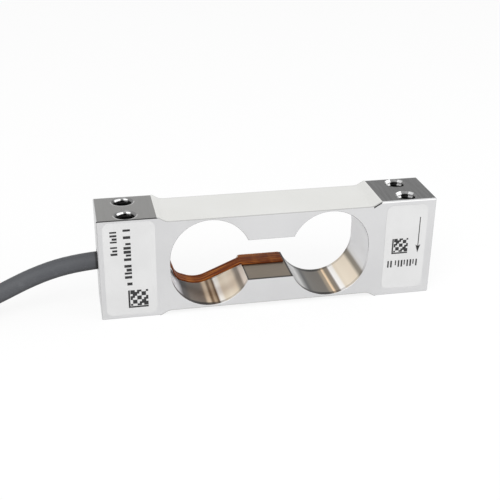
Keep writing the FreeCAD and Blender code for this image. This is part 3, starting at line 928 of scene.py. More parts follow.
@dataclass(frozen=True)
class CableJacket(Finish):
    """Dark grey jacket with scuffs, with painted shade below and a painted contact shadow at the
    block.
    """

    name: str = "cable_jacket_grey"
    tone: Tone = Tone.JACKET
    cloud_tone: Colour = (0.072, 0.075, 0.082)
    scuff_tone: Colour = (0.15, 0.155, 0.165)
    # Painted shade on the underside, and a painted contact shadow where the jacket leaves the
    # block.
    underside_shade_tone: Colour = (0.016, 0.016, 0.019)
    exit_shadow_tone: Colour = (0.008, 0.008, 0.009)
    exit_shadow_x: Point2 = (-40.75, -40.35)
    exit_shadow_share: float = 0.92
    underside_shade_range: Point2 = (0.1, 0.75)
    underside_shade_share: float = 0.75
    cloud_scale: float = 90.0
    scuff_scale: float = 520.0
    scuff_range: Point2 = (0.56, 0.72)
    scuff_share: float = 0.18
    peel_scale: float = 1400.0
    peel_bump: Point2 = (0.00001, 0.4)
    roughness: float = 0.64
    variation: float = 0.06

    def _build(self, graph: Graph) -> None:
        """Cloudy tone, scuffs, painted shade on the underside and a painted contact shadow at the
        block.

        Args:
            graph: the material's graph.
        """
        peel = graph.noise(self.peel_scale)
        clouds = graph.noise(self.cloud_scale, 3.0)
        scuffs = graph.noise(self.scuff_scale, 4.0).map_range(*self.scuff_range)
        colour = graph.mix(clouds.map_range(*CLOUDY), self.tone, self.cloud_tone)
        colour = graph.mix(scuffs * self.scuff_share, colour, self.scuff_tone)
        # Painted shade on the underside.
        normal = graph.node("ShaderNodeNewGeometry", {}, output="Normal")
        downward = graph.node("ShaderNodeSeparateXYZ", {}, normal, output="Z") * -1.0
        under = downward.map_range(*self.underside_shade_range) * self.underside_shade_share
        colour = graph.mix(under, colour, self.underside_shade_tone)
        # Painted contact shadow where the jacket leaves the block.
        exit_shadow = graph.axis("X").map_range(*self.exit_shadow_x)
        graph.finish_surface(
            colour=graph.mix(exit_shadow * self.exit_shadow_share, colour, self.exit_shadow_tone),
            roughness=peel.around(self.roughness, self.variation),
            normal=graph.bump(peel, *self.peel_bump),
        )


class Finishes:
    """Every finish of the load cell, made once."""

    def __init__(self) -> None:
        """Make the materials."""
        self.satin = SatinAluminium().make()
        self.milled = MilledAluminium().make()
        self.bore = BoreWall().make()
        self.thread = HoleWall().make()
        self.cover = CoverFilm().make()
        self.edge = CutEdge().make()
        self.label = Plastic(
            "label_film",
            Tone.LABEL,
            roughness=0.38,
            grain_scale=1500.0,
            grain_height=0.000003,
            clouds=0.02,
            coat=0.15,
        ).make()
        self.ink = Plastic(
            "print_ink",
            Tone.INK,
            roughness=0.42,
            grain_scale=2200.0,
            grain_height=0.000002,
            clouds=0.10,
        ).make()
        self.polyimide = Plastic(
            "polyimide",
            Tone.POLYIMIDE,
            roughness=0.25,
            grain_scale=1200.0,
            grain_height=0.000003,
            clouds=0.10,
            coat=0.3,
        ).make()
        self.flex = FlexFilm().make()
        self.constantan = Metal("constantan_foil", Tone.CONSTANTAN).make()
        self.nickel = Metal("nickel_foil", Tone.NICKEL).make()
        self.copper = Metal("copper_wire", Tone.COPPER, roughness=0.22).make()
        self.solder = Metal("tin_solder", Tone.SOLDER, roughness=0.20, grain_scale=1700.0).make()
        self.potting = Plastic(
            "cable_potting",
            Tone.POTTING,
            roughness=0.60,
            grain_scale=900.0,
            grain_height=0.00002,
            clouds=0.15,
        ).make()
        self.jacket = CableJacket().make()
        self.sleeve = Plastic(
            "shrink_sleeve",
            Tone.SLEEVE,
            roughness=0.40,
            grain_scale=700.0,
            grain_height=0.00001,
            clouds=0.10,
        ).make()
        self.cores = {
            colour: Plastic(
                f"core_{colour}", Tone[f"CORE_{colour.upper()}"], roughness=0.35, grain_scale=1600.0
            ).make()
            for colour in CORE_COLOURS
        }


def dress(node: bpy.types.Object, material: bpy.types.Material) -> None:
    """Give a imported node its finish."""
    node.data.materials.clear()
    node.data.materials.append(material)


def object_from(
    name: str, mesh: bmesh.types.BMesh, materials: Sequence[bpy.types.Material], angle: float = 28.0
) -> bpy.types.Object:
    """Make an object from a mesh in millimetres.

    Args:
        name: the object's name.
        mesh: its faces, freed here.
        materials: its slots.
        angle: edges that turn more than this many degrees stay sharp.

    Returns:
        The object, linked to the scene.
    """
    bmesh.ops.scale(mesh, vec=(MM, MM, MM), verts=mesh.verts)
    mark_edges(mesh, angle)
    data = bpy.data.meshes.new(name)
    mesh.to_mesh(data)
    mesh.free()
    for material in materials:
        data.materials.append(material)
    made = bpy.data.objects.new(name, data)
    bpy.context.scene.collection.objects.link(made)
    return made


def mark_edges(mesh: bmesh.types.BMesh, angle: float) -> None:
    """Smooth every face and keep its sharper edges sharp.

    Args:
        mesh: the mesh.
        angle: edges that turn more than this many degrees stay sharp.
    """
    limit = math.radians(angle)
    for face in mesh.faces:
        face.smooth = True
    for edge in mesh.edges:
        if len(edge.link_faces) == 2:
            edge.smooth = edge.calc_face_angle(0.0) < limit


def skin(mesh: bmesh.types.BMesh, rings: Sequence[Sequence[Any]]) -> list[Any]:
    """Join neighbouring rings of vertices with four-sided faces.

    Args:
        mesh: the mesh that gets the faces.
        rings: the rings in order, each with as many vertices.

    Returns:
        The new faces.
    """
    faces = []
    for first, second in zip(rings, rings[1:]):
        for i in range(len(first)):
            j = (i + 1) % len(first)
            faces.append(mesh.faces.new((first[i], first[j], second[j], second[i])))
    return faces


def close_ends(mesh: bmesh.types.BMesh, first: Sequence[Any], last: Sequence[Any]) -> None:
    """Close a skin at its first and last ring, and turn all faces outwards.

    Args:
        mesh: the mesh that gets the two faces.
        first: vertices of the first ring.
        last: vertices of the last ring.
    """
    mesh.faces.new(first)
    mesh.faces.new(list(reversed(last)))
    bmesh.ops.recalc_face_normals(mesh, faces=mesh.faces)


def rounded_path(points: Sequence[Point2], radii: Sequence[float], step: float) -> list[Point2]:
    """Points along a line with rounded corners.

    Args:
        points: the corners, first and last included.
        radii: one radius for each inner corner, zero for a sharp one.
        step: largest turn between two points of an arc, in degrees.

    Returns:
        The line's points.
    """
    path = [points[0]]
    for before, corner, after, radius in zip(points, points[1:], points[2:], radii):
        here = Vector(corner)
        back = (Vector(before) - here).normalized()
        ahead = (Vector(after) - here).normalized()
        turn = math.pi - back.angle(ahead)
        if radius == 0 or turn < LEAST_TURN:
            path.append(corner)
            continue
        shorter = min((Vector(before) - here).length, (Vector(after) - here).length)
        reach = min(radius * math.tan(turn / 2), CORNER_SHARE * shorter)
        bend = reach / math.tan(turn / 2)
        centre = here + (back + ahead).normalized() * (bend / math.cos(turn / 2))
        start = here + back * reach - centre
        sign = 1.0 if back.x * ahead.y - back.y * ahead.x < 0 else -1.0
        count = max(1, math.ceil(math.degrees(turn) / step))
        for i in range(count + 1):
            angle = sign * turn * i / count
            cosine, sine = math.cos(angle), math.sin(angle)
            x = start.x * cosine - start.y * sine
            y = start.x * sine + start.y * cosine
            path.append((centre.x + x, centre.y + y))
    path.append(points[-1])
    return path


def offset_loop(loop: Sequence[Point2], distance: float) -> list[Point2]:
    """Closed loop moved sideways.

    Args:
        loop: its points, counter-clockwise.
        distance: how far each side moves outwards.

    Returns:
        The moved points, one for each given.
    """
    moved = []
    for i, here in enumerate(loop):
        before = Vector(loop[i - 1])
        after = Vector(loop[(i + 1) % len(loop)])
        first = (Vector(here) - before).normalized()
        second = (after - Vector(here)).normalized()
        first_side = Vector((first.y, -first.x))
        second_side = Vector((second.y, -second.x))
        bisector = (first_side + second_side).normalized()
        spot = Vector(here) + bisector * (distance / max(LEAST_COSINE, bisector.dot(first_side)))
        moved.append((spot.x, spot.y))
    return moved


class Part(Enum):
    """Material slots of the beam."""

    SATIN = 0
    MILLED = 1
    BORE = 2
    THREAD = 3
    EDGE = 4


@dataclass
class Beam:
    """The beam: a bar with ramped recesses, two bores joined by a slot and its holes."""

    length: float = 80.0
    width: float = 13.7
    height: float = 25.0
    chamfer: float = 0.2
    deburr: float = 0.07
    block_length: float = 13.5
    recess_depth: float = 1.26
    ramp_run: float = 2.1
    ramp_fillet: float = 3.0
    bore_x: float = 14.25
    bore_radius: float = 9.5
    bore_reach: float = 1.46
    slot_height: float = 10.4
    hole_inset: float = 6.65
    hole_spacing: float = 7.9
    core_radius: float = 2.1
    root_radius: float = 2.42
    mouth_radius: float = 2.6
    hole_depth: float = 8.5
    point_angle: float = 31.0
    thread_pitch: float = 0.8
    thread_slope: float = 1.35
    thread_crest: float = 0.18
    plain_foot: float = 1.2
    thread_sides: int = 56
    thread_rows: int = 116
    wall_face: int = 200
    pocket_radius: float = 2.5
    pocket_depth: float = 5.5
    passage_radius: float = 1.7
    lead_hole_x: float = -25.2
    lead_hole_radius: float = 0.6
    arc_step: float = 2.5
    level_slack: float = 0.01
    cut_sides: int = 72
    cut_overrun: float = 1.0
    passage_overrun: float = 1.5
    hole_overrun: float = 1.4

    def outline(self) -> tuple[list[Point2], list[Point2]]:
        """Outer outline at the shoulder of the edge chamfer and on the front face.

        Returns:
            Two loops with as many points, counter-clockwise seen from the front.
        """
        half, top, cut = self.length / 2, self.height, self.chamfer
        block = half - self.block_length
        foot = block - self.ramp_run
        floor = top - self.recess_depth
        drop = cut * self.ramp_run / self.recess_depth
        ramp = rounded_path(
            [(block, top), (foot, floor), (0.0, floor)], [self.ramp_fillet], self.arc_step
        )[1:-1]
        shoulder = [(half, top - cut), (half - cut, top), (block, top), *ramp]
        face = [(half - cut, top - cut)] * 2 + [(block - drop, top - cut), *ramp]
        loops = []
        for quarter in (shoulder, face):
            upper = quarter + [(-x, z) for x, z in reversed(quarter)]
            loops.append(upper + [(x, top - z) for x, z in reversed(upper)])
        return loops[0], loops[1]

    def window(self) -> list[Point2]:
        """Outline of the two bores and the slot.

        Returns:
            The loop's points, counter-clockwise seen from the front.
        """
        middle = self.height / 2
        drop = self.slot_height / 2 - self.bore_reach
        corner = math.degrees(math.asin(drop / self.bore_radius))
        loop: list[Point2] = []
        spans = (
            (self.bore_x, middle - self.bore_reach, 180 + corner, 360.0),
            (self.bore_x, middle + self.bore_reach, 0.0, 180 - corner),
            (-self.bore_x, middle + self.bore_reach, corner, 180.0),
            (-self.bore_x, middle - self.bore_reach, 180.0, 360 - corner),
        )
        for x, z, start, end in spans:
            count = math.ceil((end - start) / self.arc_step)
            for i in range(count + 1):
                angle = math.radians(start + (end - start) * i / count)
                loop.append(
                    (x + self.bore_radius * math.cos(angle), z + self.bore_radius * math.sin(angle))
                )
        return loop

    @staticmethod
    def _ring(mesh: bmesh.types.BMesh, loop: Sequence[Point2], y: float) -> list[Any]:
        """Vertices of one outline at a depth."""
        return [mesh.verts.new((x, y, z)) for x, z in loop]

    @staticmethod
    def _wall(
        mesh: bmesh.types.BMesh,
        first: Sequence[Any],
        second: Sequence[Any],
        pick: Callable[[Vector], Part],
    ) -> None:
        """Add the faces between two rings.

        Args:
            mesh: the mesh that gets them.
            first: vertices of one ring.
            second: vertices of the other.
            pick: gives the slot of a face from its middle.
        """
        for face in skin(mesh, (first, second)):
            face.material_index = pick(face.calc_center_median()).value

    def _outer_part(self, spot: Vector) -> Part:
        """Choose the slot of a face on the beam's outside.

        Args:
            spot: the middle of the face.

        Returns:
            Milled on the blocks' tops and feet, satin elsewhere.
        """
        on_block = abs(spot.x) > self.length / 2 - self.block_length
        level = abs(spot.z - self.height / 2) > self.height / 2 - self.level_slack
        return Part.MILLED if on_block and level else Part.SATIN

    def body(self) -> bmesh.types.BMesh:
        """Build the closed bar with its window, before the holes are cut.

        Returns:
            The mesh in millimetres.
        """
        mesh = bmesh.new()
        shoulder, face = self.outline()
        window = self.window()
        wide = offset_loop(window, self.deburr)
        depth = self.width / 2
        rings = []
        for side in (-1.0, 1.0):
            outer_face = self._ring(mesh, face, side * depth)
            outer_shoulder = self._ring(mesh, shoulder, side * (depth - self.chamfer))
            inner_face = self._ring(mesh, wide, side * depth)
            inner_wall = self._ring(mesh, window, side * (depth - self.deburr))
            rings.append((outer_shoulder, inner_wall))
            self._wall(mesh, outer_face, outer_shoulder, lambda spot: Part.EDGE)
            self._wall(mesh, inner_face, inner_wall, lambda spot: Part.EDGE)
            edges = []
            for ring in (outer_face, inner_face):
                for i, vertex in enumerate(ring):
                    edges.append(self._edge(mesh, vertex, ring[(i + 1) % len(ring)]))
            bmesh.ops.triangle_fill(mesh, edges=edges, use_beauty=True)
        (front_shoulder, front_wall), (back_shoulder, back_wall) = rings
        self._wall(mesh, front_shoulder, back_shoulder, self._outer_part)
        self._wall(mesh, front_wall, back_wall, lambda spot: Part.BORE)
        bmesh.ops.remove_doubles(mesh, verts=mesh.verts, dist=1e-5)
        bmesh.ops.dissolve_degenerate(mesh, edges=mesh.edges, dist=1e-6)
        bmesh.ops.recalc_face_normals(mesh, faces=mesh.faces)
        return mesh

    @staticmethod
    def _edge(mesh: bmesh.types.BMesh, first: Any, second: Any) -> Any:
        """Edge between two vertices, made if it isn't there."""
        return mesh.edges.get((first, second)) or mesh.edges.new((first, second))

    def hole_places(self) -> list[tuple[float, float, bool]]:
        """Places of the mounting holes.

        Returns:
            X, Y and whether it is on top, for each hole.
        """
        x = self.length / 2 - self.hole_inset
        y = self.hole_spacing / 2
        return [(sx * x, sy * y, up) for sx in (-1, 1) for sy in (-1, 1) for up in (True, False)]

    def cuts(self) -> list[tuple[Point3, Point3, float]]:
        """Round cuts: the cable's pocket and passage, the lead hole and the mounting holes.

        Returns:
            Start, end and radius of each cut.
        """
        middle, above, below = self.height / 2, self.height + self.cut_overrun, -self.cut_overrun
        left = -self.length / 2
        pocket = left + self.pocket_depth
        bore = -self.bore_x - self.bore_radius + self.passage_overrun
        lead = self.lead_hole_x
        cuts = [
            ((left - self.cut_overrun, 0, middle), (pocket, 0, middle), self.pocket_radius),
            ((pocket - self.cut_overrun, 0, middle), (bore, 0, middle), self.passage_radius),
            ((lead, 0, below), (lead, 0, above), self.lead_hole_radius),
        ]
        for x, y, up in self.hole_places():
            reach = self.hole_depth + self.hole_overrun
            bottom, mouth = (self.height - reach, above) if up else (reach, below)
            cuts.append(((x, y, bottom), (x, y, mouth), self.mouth_radius))
        return cuts

    def cutter(self, start: Vector, end: Vector, radius: float) -> bmesh.types.BMesh:
        """Build a round bar for cutting.

        Args:
            start: middle of its first end.
            end: middle of its other end.
            radius: its radius.

        Returns:
            The mesh in millimetres.
        """
        mesh = bmesh.new()
        axis = end - start
        turn = axis.to_track_quat("Z", "Y").to_matrix().to_4x4()
        bmesh.ops.create_cone(
            mesh,
            cap_ends=True,
            segments=self.cut_sides,
            radius1=radius,
            radius2=radius,
            depth=axis.length,
            matrix=Matrix.Translation((start + end) / 2) @ turn,
        )
        for face in mesh.faces:
            face.material_index = Part.THREAD.value
        return mesh

    def _thread_radius(self, depth: float, share: float) -> float:
        """Radius of a hole's wall: countersink, helical thread and plain foot.

        Args:
            depth: how far below the mouth.
            share: place round the hole, from zero to one.

        Returns:
            The radius.
        """
        phase = (depth / self.thread_pitch - share) % 1.0
        rise = self.thread_slope * abs(2 * phase - 1.0) - self.thread_crest
        radius = self.core_radius
        if depth <= self.hole_depth - self.plain_foot:
            radius += (self.root_radius - self.core_radius) * max(0.0, min(1.0, rise))
        return max(radius, self.mouth_radius - depth)

    def lining(self, x: float, y: float, up: bool) -> bmesh.types.BMesh:
        """Build the countersink, thread and drill point of one hole as a single surface.

        Args:
            x: the hole's place along the beam.
            y: its place across the beam.
            up: whether it is on top.

        Returns:
            The mesh in millimetres.
        """
        mesh = bmesh.new()
        around = self.thread_sides
        rings = []
        for row in range(self.thread_rows + 1):
            depth = self.hole_depth * row / self.thread_rows
            ring = []
            for i in range(around):
                radius = self._thread_radius(depth, i / around)
                angle = 2 * math.pi * i / around
                across, along = x + radius * math.cos(angle), y + radius * math.sin(angle)
                ring.append(mesh.verts.new((across, along, self._level(up, depth))))
            rings.append(ring)
        skin(mesh, rings)
        point_depth = self.hole_depth + self.core_radius * math.tan(math.radians(self.point_angle))
        tip = mesh.verts.new((x, y, self._level(up, point_depth)))
        for i in range(around):
            mesh.faces.new((rings[-1][i], rings[-1][(i + 1) % around], tip))
        for face in mesh.faces:
            face.material_index = Part.THREAD.value
        bmesh.ops.recalc_face_normals(mesh, faces=mesh.faces)
        if self._faces_outwards(mesh, x, y):
            bmesh.ops.reverse_faces(mesh, faces=mesh.faces)
        return mesh

    def _level(self, up: bool, depth: float) -> float:
        """Height of a depth in a hole on top or in a foot."""
        return self.height - depth if up else depth

    def _faces_outwards(self, mesh: bmesh.types.BMesh, x: float, y: float) -> bool:
        """Tell whether a lining's wall looks away from its axis.

        Args:
            mesh: the lining.
            x: the hole's place along the beam.
            y: its place across the beam.

        Returns:
            True where it looks outwards.
        """
        mesh.faces.ensure_lookup_table()
        face = mesh.faces[self.wall_face]
        spot = face.calc_center_median()
        return face.normal.dot(spot - Vector((x, y, spot.z))) > 0

    def make(self, finishes: Finishes) -> bpy.types.Object:
        """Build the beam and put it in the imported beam's place.

        Args:
            finishes: the materials.

        Returns:
            The beam's object.
        """
        slots = [finishes.satin, finishes.milled, finishes.bore, finishes.thread, finishes.edge]
        beam = object_from("beam_body", self.body(), slots)
        for number, (start, end, radius) in enumerate(self.cuts()):
            tool = self.cutter(Vector(start), Vector(end), radius)
            cut_away(beam, object_from(f"cut_{number}", tool, slots))
        mesh = bmesh.new()
        mesh.from_mesh(beam.data)
        bmesh.ops.scale(mesh, vec=(1 / MM, 1 / MM, 1 / MM), verts=mesh.verts)
        for x, y, up in self.hole_places():
            join_mesh(mesh, self.lining(x, y, up))
        bpy.data.objects.remove(beam)
        whole = object_from("beam_body", mesh, slots)
        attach(whole, BODY)
        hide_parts("beam")
        return whole


def join_mesh(mesh: bmesh.types.BMesh, other: bmesh.types.BMesh) -> None:
    """Add another mesh's faces to a mesh.

    Args:
        mesh: the mesh that gets them.
        other: the other mesh, freed here.
    """
    data = bpy.data.meshes.new("joined")
    other.to_mesh(data)
    other.free()
    mesh.from_mesh(data)
    bpy.data.meshes.remove(data)


def cut_away(target: bpy.types.Object, tool: bpy.types.Object) -> None:
    """Cut one object from another and delete it.

    Args:
        target: the object that loses material.
        tool: the object that is cut from it and deleted.
    """
    modifier = target.modifiers.new("cut", "BOOLEAN")
    modifier.operation = "DIFFERENCE"
    modifier.solver = "EXACT"
    modifier.object = tool
    graph = bpy.context.evaluated_depsgraph_get()
    data = bpy.data.meshes.new_from_object(target.evaluated_get(graph))
    target.modifiers.clear()
    old = target.data
    target.data = data
    bpy.data.meshes.remove(old)
    bpy.data.objects.remove(tool)


@dataclass
class FlexCircuit:
    """The flex circuit: a pad on the slot's floor and a tail that sags through the left bore.

    The sag is given as degrees round the bore's lower arc and the gap to its wall, and the pad's
    rim as its sideways move and its height from the top.
    """

    bore_x: float = 14.25
    bore_radius: float = 9.5
    lower_centre: float = 11.04
    wall_x: float = -23.75
    floor_z: float = 7.3
    thickness: float = 0.35
    joint_top: float = 13.8
    joint_foot: float = 11.2
    sag: tuple[Point2, ...] = ((220.7, 0.08), (254.6, 1.12))
    radii: tuple[float, ...] = (1.5, 3.1, 10.0, 1.0)
    bend_step: float = 4.0
    front_y: float = 1.6
    back_y: float = 5.1
    tail_end: float = 0.0
    pad_front: float = 1.0
    pad_back: float = 6.4
    pad_start: float = -5.48
    pad_end: float = 5.0
    pad_gap: float = 0.25
    pad_corner: float = 0.4
    corner_step: float = 10.0
    pad_rim: tuple[Point2, ...] = ((0.0, -0.08), (-0.03, -0.02), (-0.1, 0.0))
    ridge: float = 0.05
    trace_count: int = 4
    steps_per_trace: int = 8

    def centreline(self) -> list[Point2]:
        """Middle surface of the tail in XZ, from its top on the wall to the pad.

        Returns:
            Its points.
        """
        half = self.thickness / 2
        points = [(self.wall_x + half, self.joint_top), (self.wall_x + half, self.joint_foot)]
        for angle, gap in self.sag:
            turn = math.radians(angle)
            reach = self.bore_radius - gap
            points.append(
                (-self.bore_x + reach * math.cos(turn), self.lower_centre + reach * math.sin(turn))
            )
        points.append((self.pad_start - self.pad_gap, self.floor_z + half))
        points.append((self.tail_end, self.floor_z + half))
        return rounded_path(points, self.radii, self.bend_step)

    def section(self) -> list[Point2]:
        """Outline across the tail, with a low ridge over each trace.

        Returns:
            Distance along Y and height over the middle surface, for each point.
        """
        half = self.thickness / 2
        width = self.back_y - self.front_y
        steps = self.steps_per_trace * self.trace_count
        top: list[Point2] = []
        for i in range(steps + 1):
            share = i / steps
            wave = 0.5 - 0.5 * math.cos(2 * math.pi * share * self.trace_count)
            top.append((self.front_y + share * width, half - self.ridge * (1 - wave)))
        under = [(self.back_y, -half), (self.front_y, -half)]
        return top + under

    def tail(self) -> bmesh.types.BMesh:
        """Sweep the tail along its line.

        Returns:
            The mesh in millimetres.
        """
        mesh = bmesh.new()
        line = self.centreline()
        section = self.section()
        rings = []
        for i, (x, z) in enumerate(line):
            before = Vector(line[max(0, i - 1)])
            after = Vector(line[min(len(line) - 1, i + 1)])
            heading = (after - before).normalized()
            side = Vector((-heading.y, heading.x))
            rings.append([mesh.verts.new((x + side.x * h, y, z + side.y * h)) for y, h in section])
        skin(mesh, rings)
        close_ends(mesh, rings[0], rings[-1])
        return mesh

    def pad(self) -> bmesh.types.BMesh:
        """Build the pad on the slot's floor, with rounded corners and a soft upper edge.

        Returns:
            The mesh in millimetres.
        """
        x0, x1, y0, y1 = self.pad_start, self.pad_end, self.pad_front, self.pad_back
        middle = ((x0 + x1) / 2, y0)
        points = [middle, (x1, y0), (x1, y1), (x0, y1), (x0, y0), middle]
        loop = rounded_path(points, [self.pad_corner] * 4, self.corner_step)[:-1]
        levels = [(0.0, 0.0), *((grow, self.thickness + drop) for grow, drop in self.pad_rim)]
        mesh = bmesh.new()
        rings = []
        for grow, height in levels:
            ring = offset_loop(loop, grow) if grow else loop
            rings.append([mesh.verts.new((x, y, self.floor_z + height)) for x, y in ring])
        skin(mesh, rings)
        close_ends(mesh, rings[-1], rings[0])
        return mesh

    def make(self, finishes: Finishes) -> bpy.types.Object:
        """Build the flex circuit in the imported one's place.

        Args:
            finishes: the materials.

        Returns:
            Its object.
        """
        mesh = self.pad()
        join_mesh(mesh, self.tail())
        made = object_from("flex_film_and_tail", mesh, [finishes.flex], angle=SOFT_ANGLE)
        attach(made, BODY)
        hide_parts("flex_circuit")
        return made


@dataclass
class InnerCore:
    """One core that leaves the passage and hugs the bore's wall to its joint on the flex tail.

    Its steps are places along Y: on the wall first, then on the film.
    """

    colour: str
    side_y: float
    rise: float
    middle_z: float = 12.5
    clear_rise: float = 1.55
    start_x: float = -34.5
    wall_x: float = -23.38
    wall_gap: float = 1.0
    film_x: float = -23.02
    near_steps: tuple[float, ...] = (0.9, 1.7, 2.8)
    over_steps: tuple[float, ...] = (0.5, 1.7, 3.2)
    far_steps: tuple[float, ...] = (3.9, 4.85)
    radius: float = 0.34
    sides: int = 14
    rounds: int = 3
    cut_share: float = 0.25

    def route(self) -> list[Vector]:
        """Corner points to the nearer joint, or past it and onto the farther one.

        Returns:
            The points, from inside the passage to the joint.
        """
        level = self.middle_z + self.rise
        passage = (self.start_x, self.wall_x - self.wall_gap, self.wall_x)
        if self.side_y > 0:
            steps = [(y, level) for y in self.near_steps]
        else:
            clear = self.middle_z + math.copysign(self.clear_rise, self.rise)
            steps = [(y, clear) for y in self.over_steps] + [(y, level) for y in self.far_steps]
        (wall_y, wall_z), *on_film = steps
        return [
            *(Vector((x, self.side_y, level)) for x in passage),
            Vector((self.wall_x, wall_y, wall_z)),
            *(Vector((self.film_x, y, z)) for y, z in on_film),
        ]

    def make(self, finish: bpy.types.Material) -> bpy.types.Object:
        """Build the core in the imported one's place.

        Args:
            finish: its material.

        Returns:
            Its object.
        """
        mesh = bmesh.new()
        line = self._smooth(self.route())
        rings = [self._ring(mesh, line, i) for i in range(len(line))]
        skin(mesh, rings)
        close_ends(mesh, rings[0], rings[-1])
        made = object_from(f"{self.colour}_core_in_block", mesh, [finish], angle=SOFT_ANGLE)
        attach(made, BODY)
        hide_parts(f"inner_core_{self.colour}")
        return made

    def _smooth(self, points: Sequence[Vector]) -> list[Vector]:
        """Cut the line's corners a few times over, with its ends kept.

        Args:
            points: the line's corners.

        Returns:
            The smoother line.
        """
        line = list(points)
        for _ in range(self.rounds):
            cut = [line[0]]
            for near, far in zip(line, line[1:]):
                cut += [near.lerp(far, self.cut_share), near.lerp(far, 1.0 - self.cut_share)]
            line = [*cut, line[-1]]
        return line

    def _ring(self, mesh: bmesh.types.BMesh, line: Sequence[Vector], index: int) -> list[Any]:
        """Add the vertices round one place of the line.

        Args:
            mesh: the mesh that gets them.
            line: the core's line.
            index: number of the place on it.

        Returns:
            The vertices.
        """
        ahead = line[min(index + 1, len(line) - 1)] - line[max(index - 1, 0)]
        heading = ahead.normalized()
        across = heading.cross(Vector((0.0, 0.0, 1.0))).normalized()
        upward = across.cross(heading)
        ring = []
        for i in range(self.sides):
            turn = 2 * math.pi * i / self.sides
            offset = across * math.cos(turn) + upward * math.sin(turn)
            ring.append(mesh.verts.new(line[index] + offset * self.radius))
        return ring


@dataclass
class Cable:
    """The cable: its run to the surface, its tied hank and its stripped end."""

    exit: Point3 = (-34.5, 0.0, 12.5)
    route: tuple[Point3, ...] = (
        (-42.0, 0.0, 12.5),
        (-53.0, 0.6, 10.1),
        (-66.0, -1.8, 5.0),
        (-77.5, -4.7, 2.15),
        (-85.5, -4.7, 2.15),
    )
    outlet: tuple[Point3, ...] = (
        (-106.0, -0.4, 15.25),
        (-112.5, -0.4, 15.25),
    )
    diameter: float = 4.2
    hank_start: float = -99.5
    hank_run: float = 40.0
    middle_y: float = 12.6
    inner_turn: float = 13.0
    pitch: float = 4.3
    rest: float = 2.15
    quarters: int = 20
    quarters_per_change: int = 3
    points_per_end: int = 9
    curve_order: int = 3
    curve_steps: int = 6
    round_steps: int = 6
    real_length: float = 0.95

    def slot(self, changes: int) -> tuple[float, float]:
        """Radius and height of the turn after a number of changes.

        The cable changes by turns its column, outer or inner, and its layer, so that no two of
        its quarters share a place.

        Args:
            changes: how many changes came before.

        Returns:
            The turn's radius at the ends of the hank and its height.
        """
        inner = (changes + 1) // 2 % 2 == 1
        radius = self.inner_turn + (0.0 if inner else self.pitch)
        return radius, self.rest + changes // 2 * self.pitch

    def hank(self) -> list[Point3]:
        """Points of the hank's turns, clockwise from above.

        A turn has four quarters: the front run, the left end, the back run and the right end. Each
        third quarter carries a change. A run needs no points of its own between the ends.

        Returns:
            The points.
        """
        points = []
        steps = self.points_per_end - 1
        outwards = 1.0 / math.cos(math.pi / steps / 2)
        for quarter in range(1, self.quarters, 2):
            left = quarter % 4 == 1
            centre_x = self.hank_start - (self.hank_run if left else 0.0)
            first = -math.pi / 2 if left else math.pi / 2
            before = self.slot(quarter // self.quarters_per_change)
            after = self.slot((quarter + 1) // self.quarters_per_change)
            for i in range(steps + 1):
                share = i / steps
                angle = first - math.pi * share
                radius = (before[0] + (after[0] - before[0]) * share) * outwards
                height = before[1] + (after[1] - before[1]) * share
                x = centre_x + radius * math.cos(angle)
                points.append((x, self.middle_y + radius * math.sin(angle), height))
        return points

    def curve(self, points: Sequence[Point3], jacket: bpy.types.Material) -> bpy.types.Curve:
        """Make the jacket's round curve.

        Args:
            points: its control points.
            jacket: its material.

        Returns:
            The curve.
        """
        curve = bpy.data.curves.new("cable", "CURVE")
        curve.dimensions = "3D"
        spline = curve.splines.new("NURBS")
        spline.points.add(len(points) - 1)
        for point, place in zip(spline.points, points):
            point.co = (*(coordinate * MM for coordinate in place), 1.0)
        spline.order_u = self.curve_order
        spline.use_endpoint_u = True
        spline.resolution_u = self.curve_steps
        curve.bevel_depth = self.diameter / 2 * MM
        curve.bevel_resolution = self.round_steps
        curve.use_fill_caps = True
        curve.materials.append(jacket)
        log.info("cable: %.3f m along its control line", spline.calc_length())
        return curve

    def make(self, finishes: Finishes, nodes: dict[str, bpy.types.Object]) -> bpy.types.Object:
        """Args:
            finishes: the materials.
            nodes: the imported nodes.

        Returns:
            The jacket's object.
        """
        points = [self.exit, *self.route, *self.hank(), *self.outlet]
        made = bpy.data.objects.new("cable", self.curve(points, finishes.jacket))
        bpy.context.scene.collection.objects.link(made)
        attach(made, BODY)
        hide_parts("cable_jacket", "cable_hank", "far_jacket")
        ends = [nodes["hank_tie"], nodes["end_sleeve"]]
        for colour in finishes.cores:
            ends += [nodes[f"outer_core_{colour}"], nodes[f"tinned_tip_{colour}"]]
        return made


@dataclass
class Label:
    """One film label's print: plain blocks, a plain block pattern or an arrow."""

    name: str
    plane_y: float = -6.912
    thickness: float = 0.004
    shapes: list[list[Point2]] = field(default_factory=list)

    def bar(self, x0: float, z0: float, x1: float, z1: float) -> None:
        """Add an upright rectangle."""
        self.shapes.append([(x0, z0), (x1, z0), (x1, z1), (x0, z1)])

    def make(self, finishes: Finishes) -> bpy.types.Object:
        """Make the print as thin flat pieces on the label.

        Args:
            finishes: the materials.

        Returns:
            Its object.
        """
        mesh = bmesh.new()
        depths = (self.plane_y - self.thickness, self.plane_y)
        for shape in self.shapes:
            rings = [[mesh.verts.new((x, y, z)) for x, z in shape] for y in depths]
            skin(mesh, rings)
            close_ends(mesh, rings[0], rings[-1])
        made = object_from(self.name, mesh, [finishes.ink])
        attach(made, BODY)
        return made


class Axis(Enum):
    """Way in which a line of print runs."""

    ACROSS = 0
    DOWN = 1


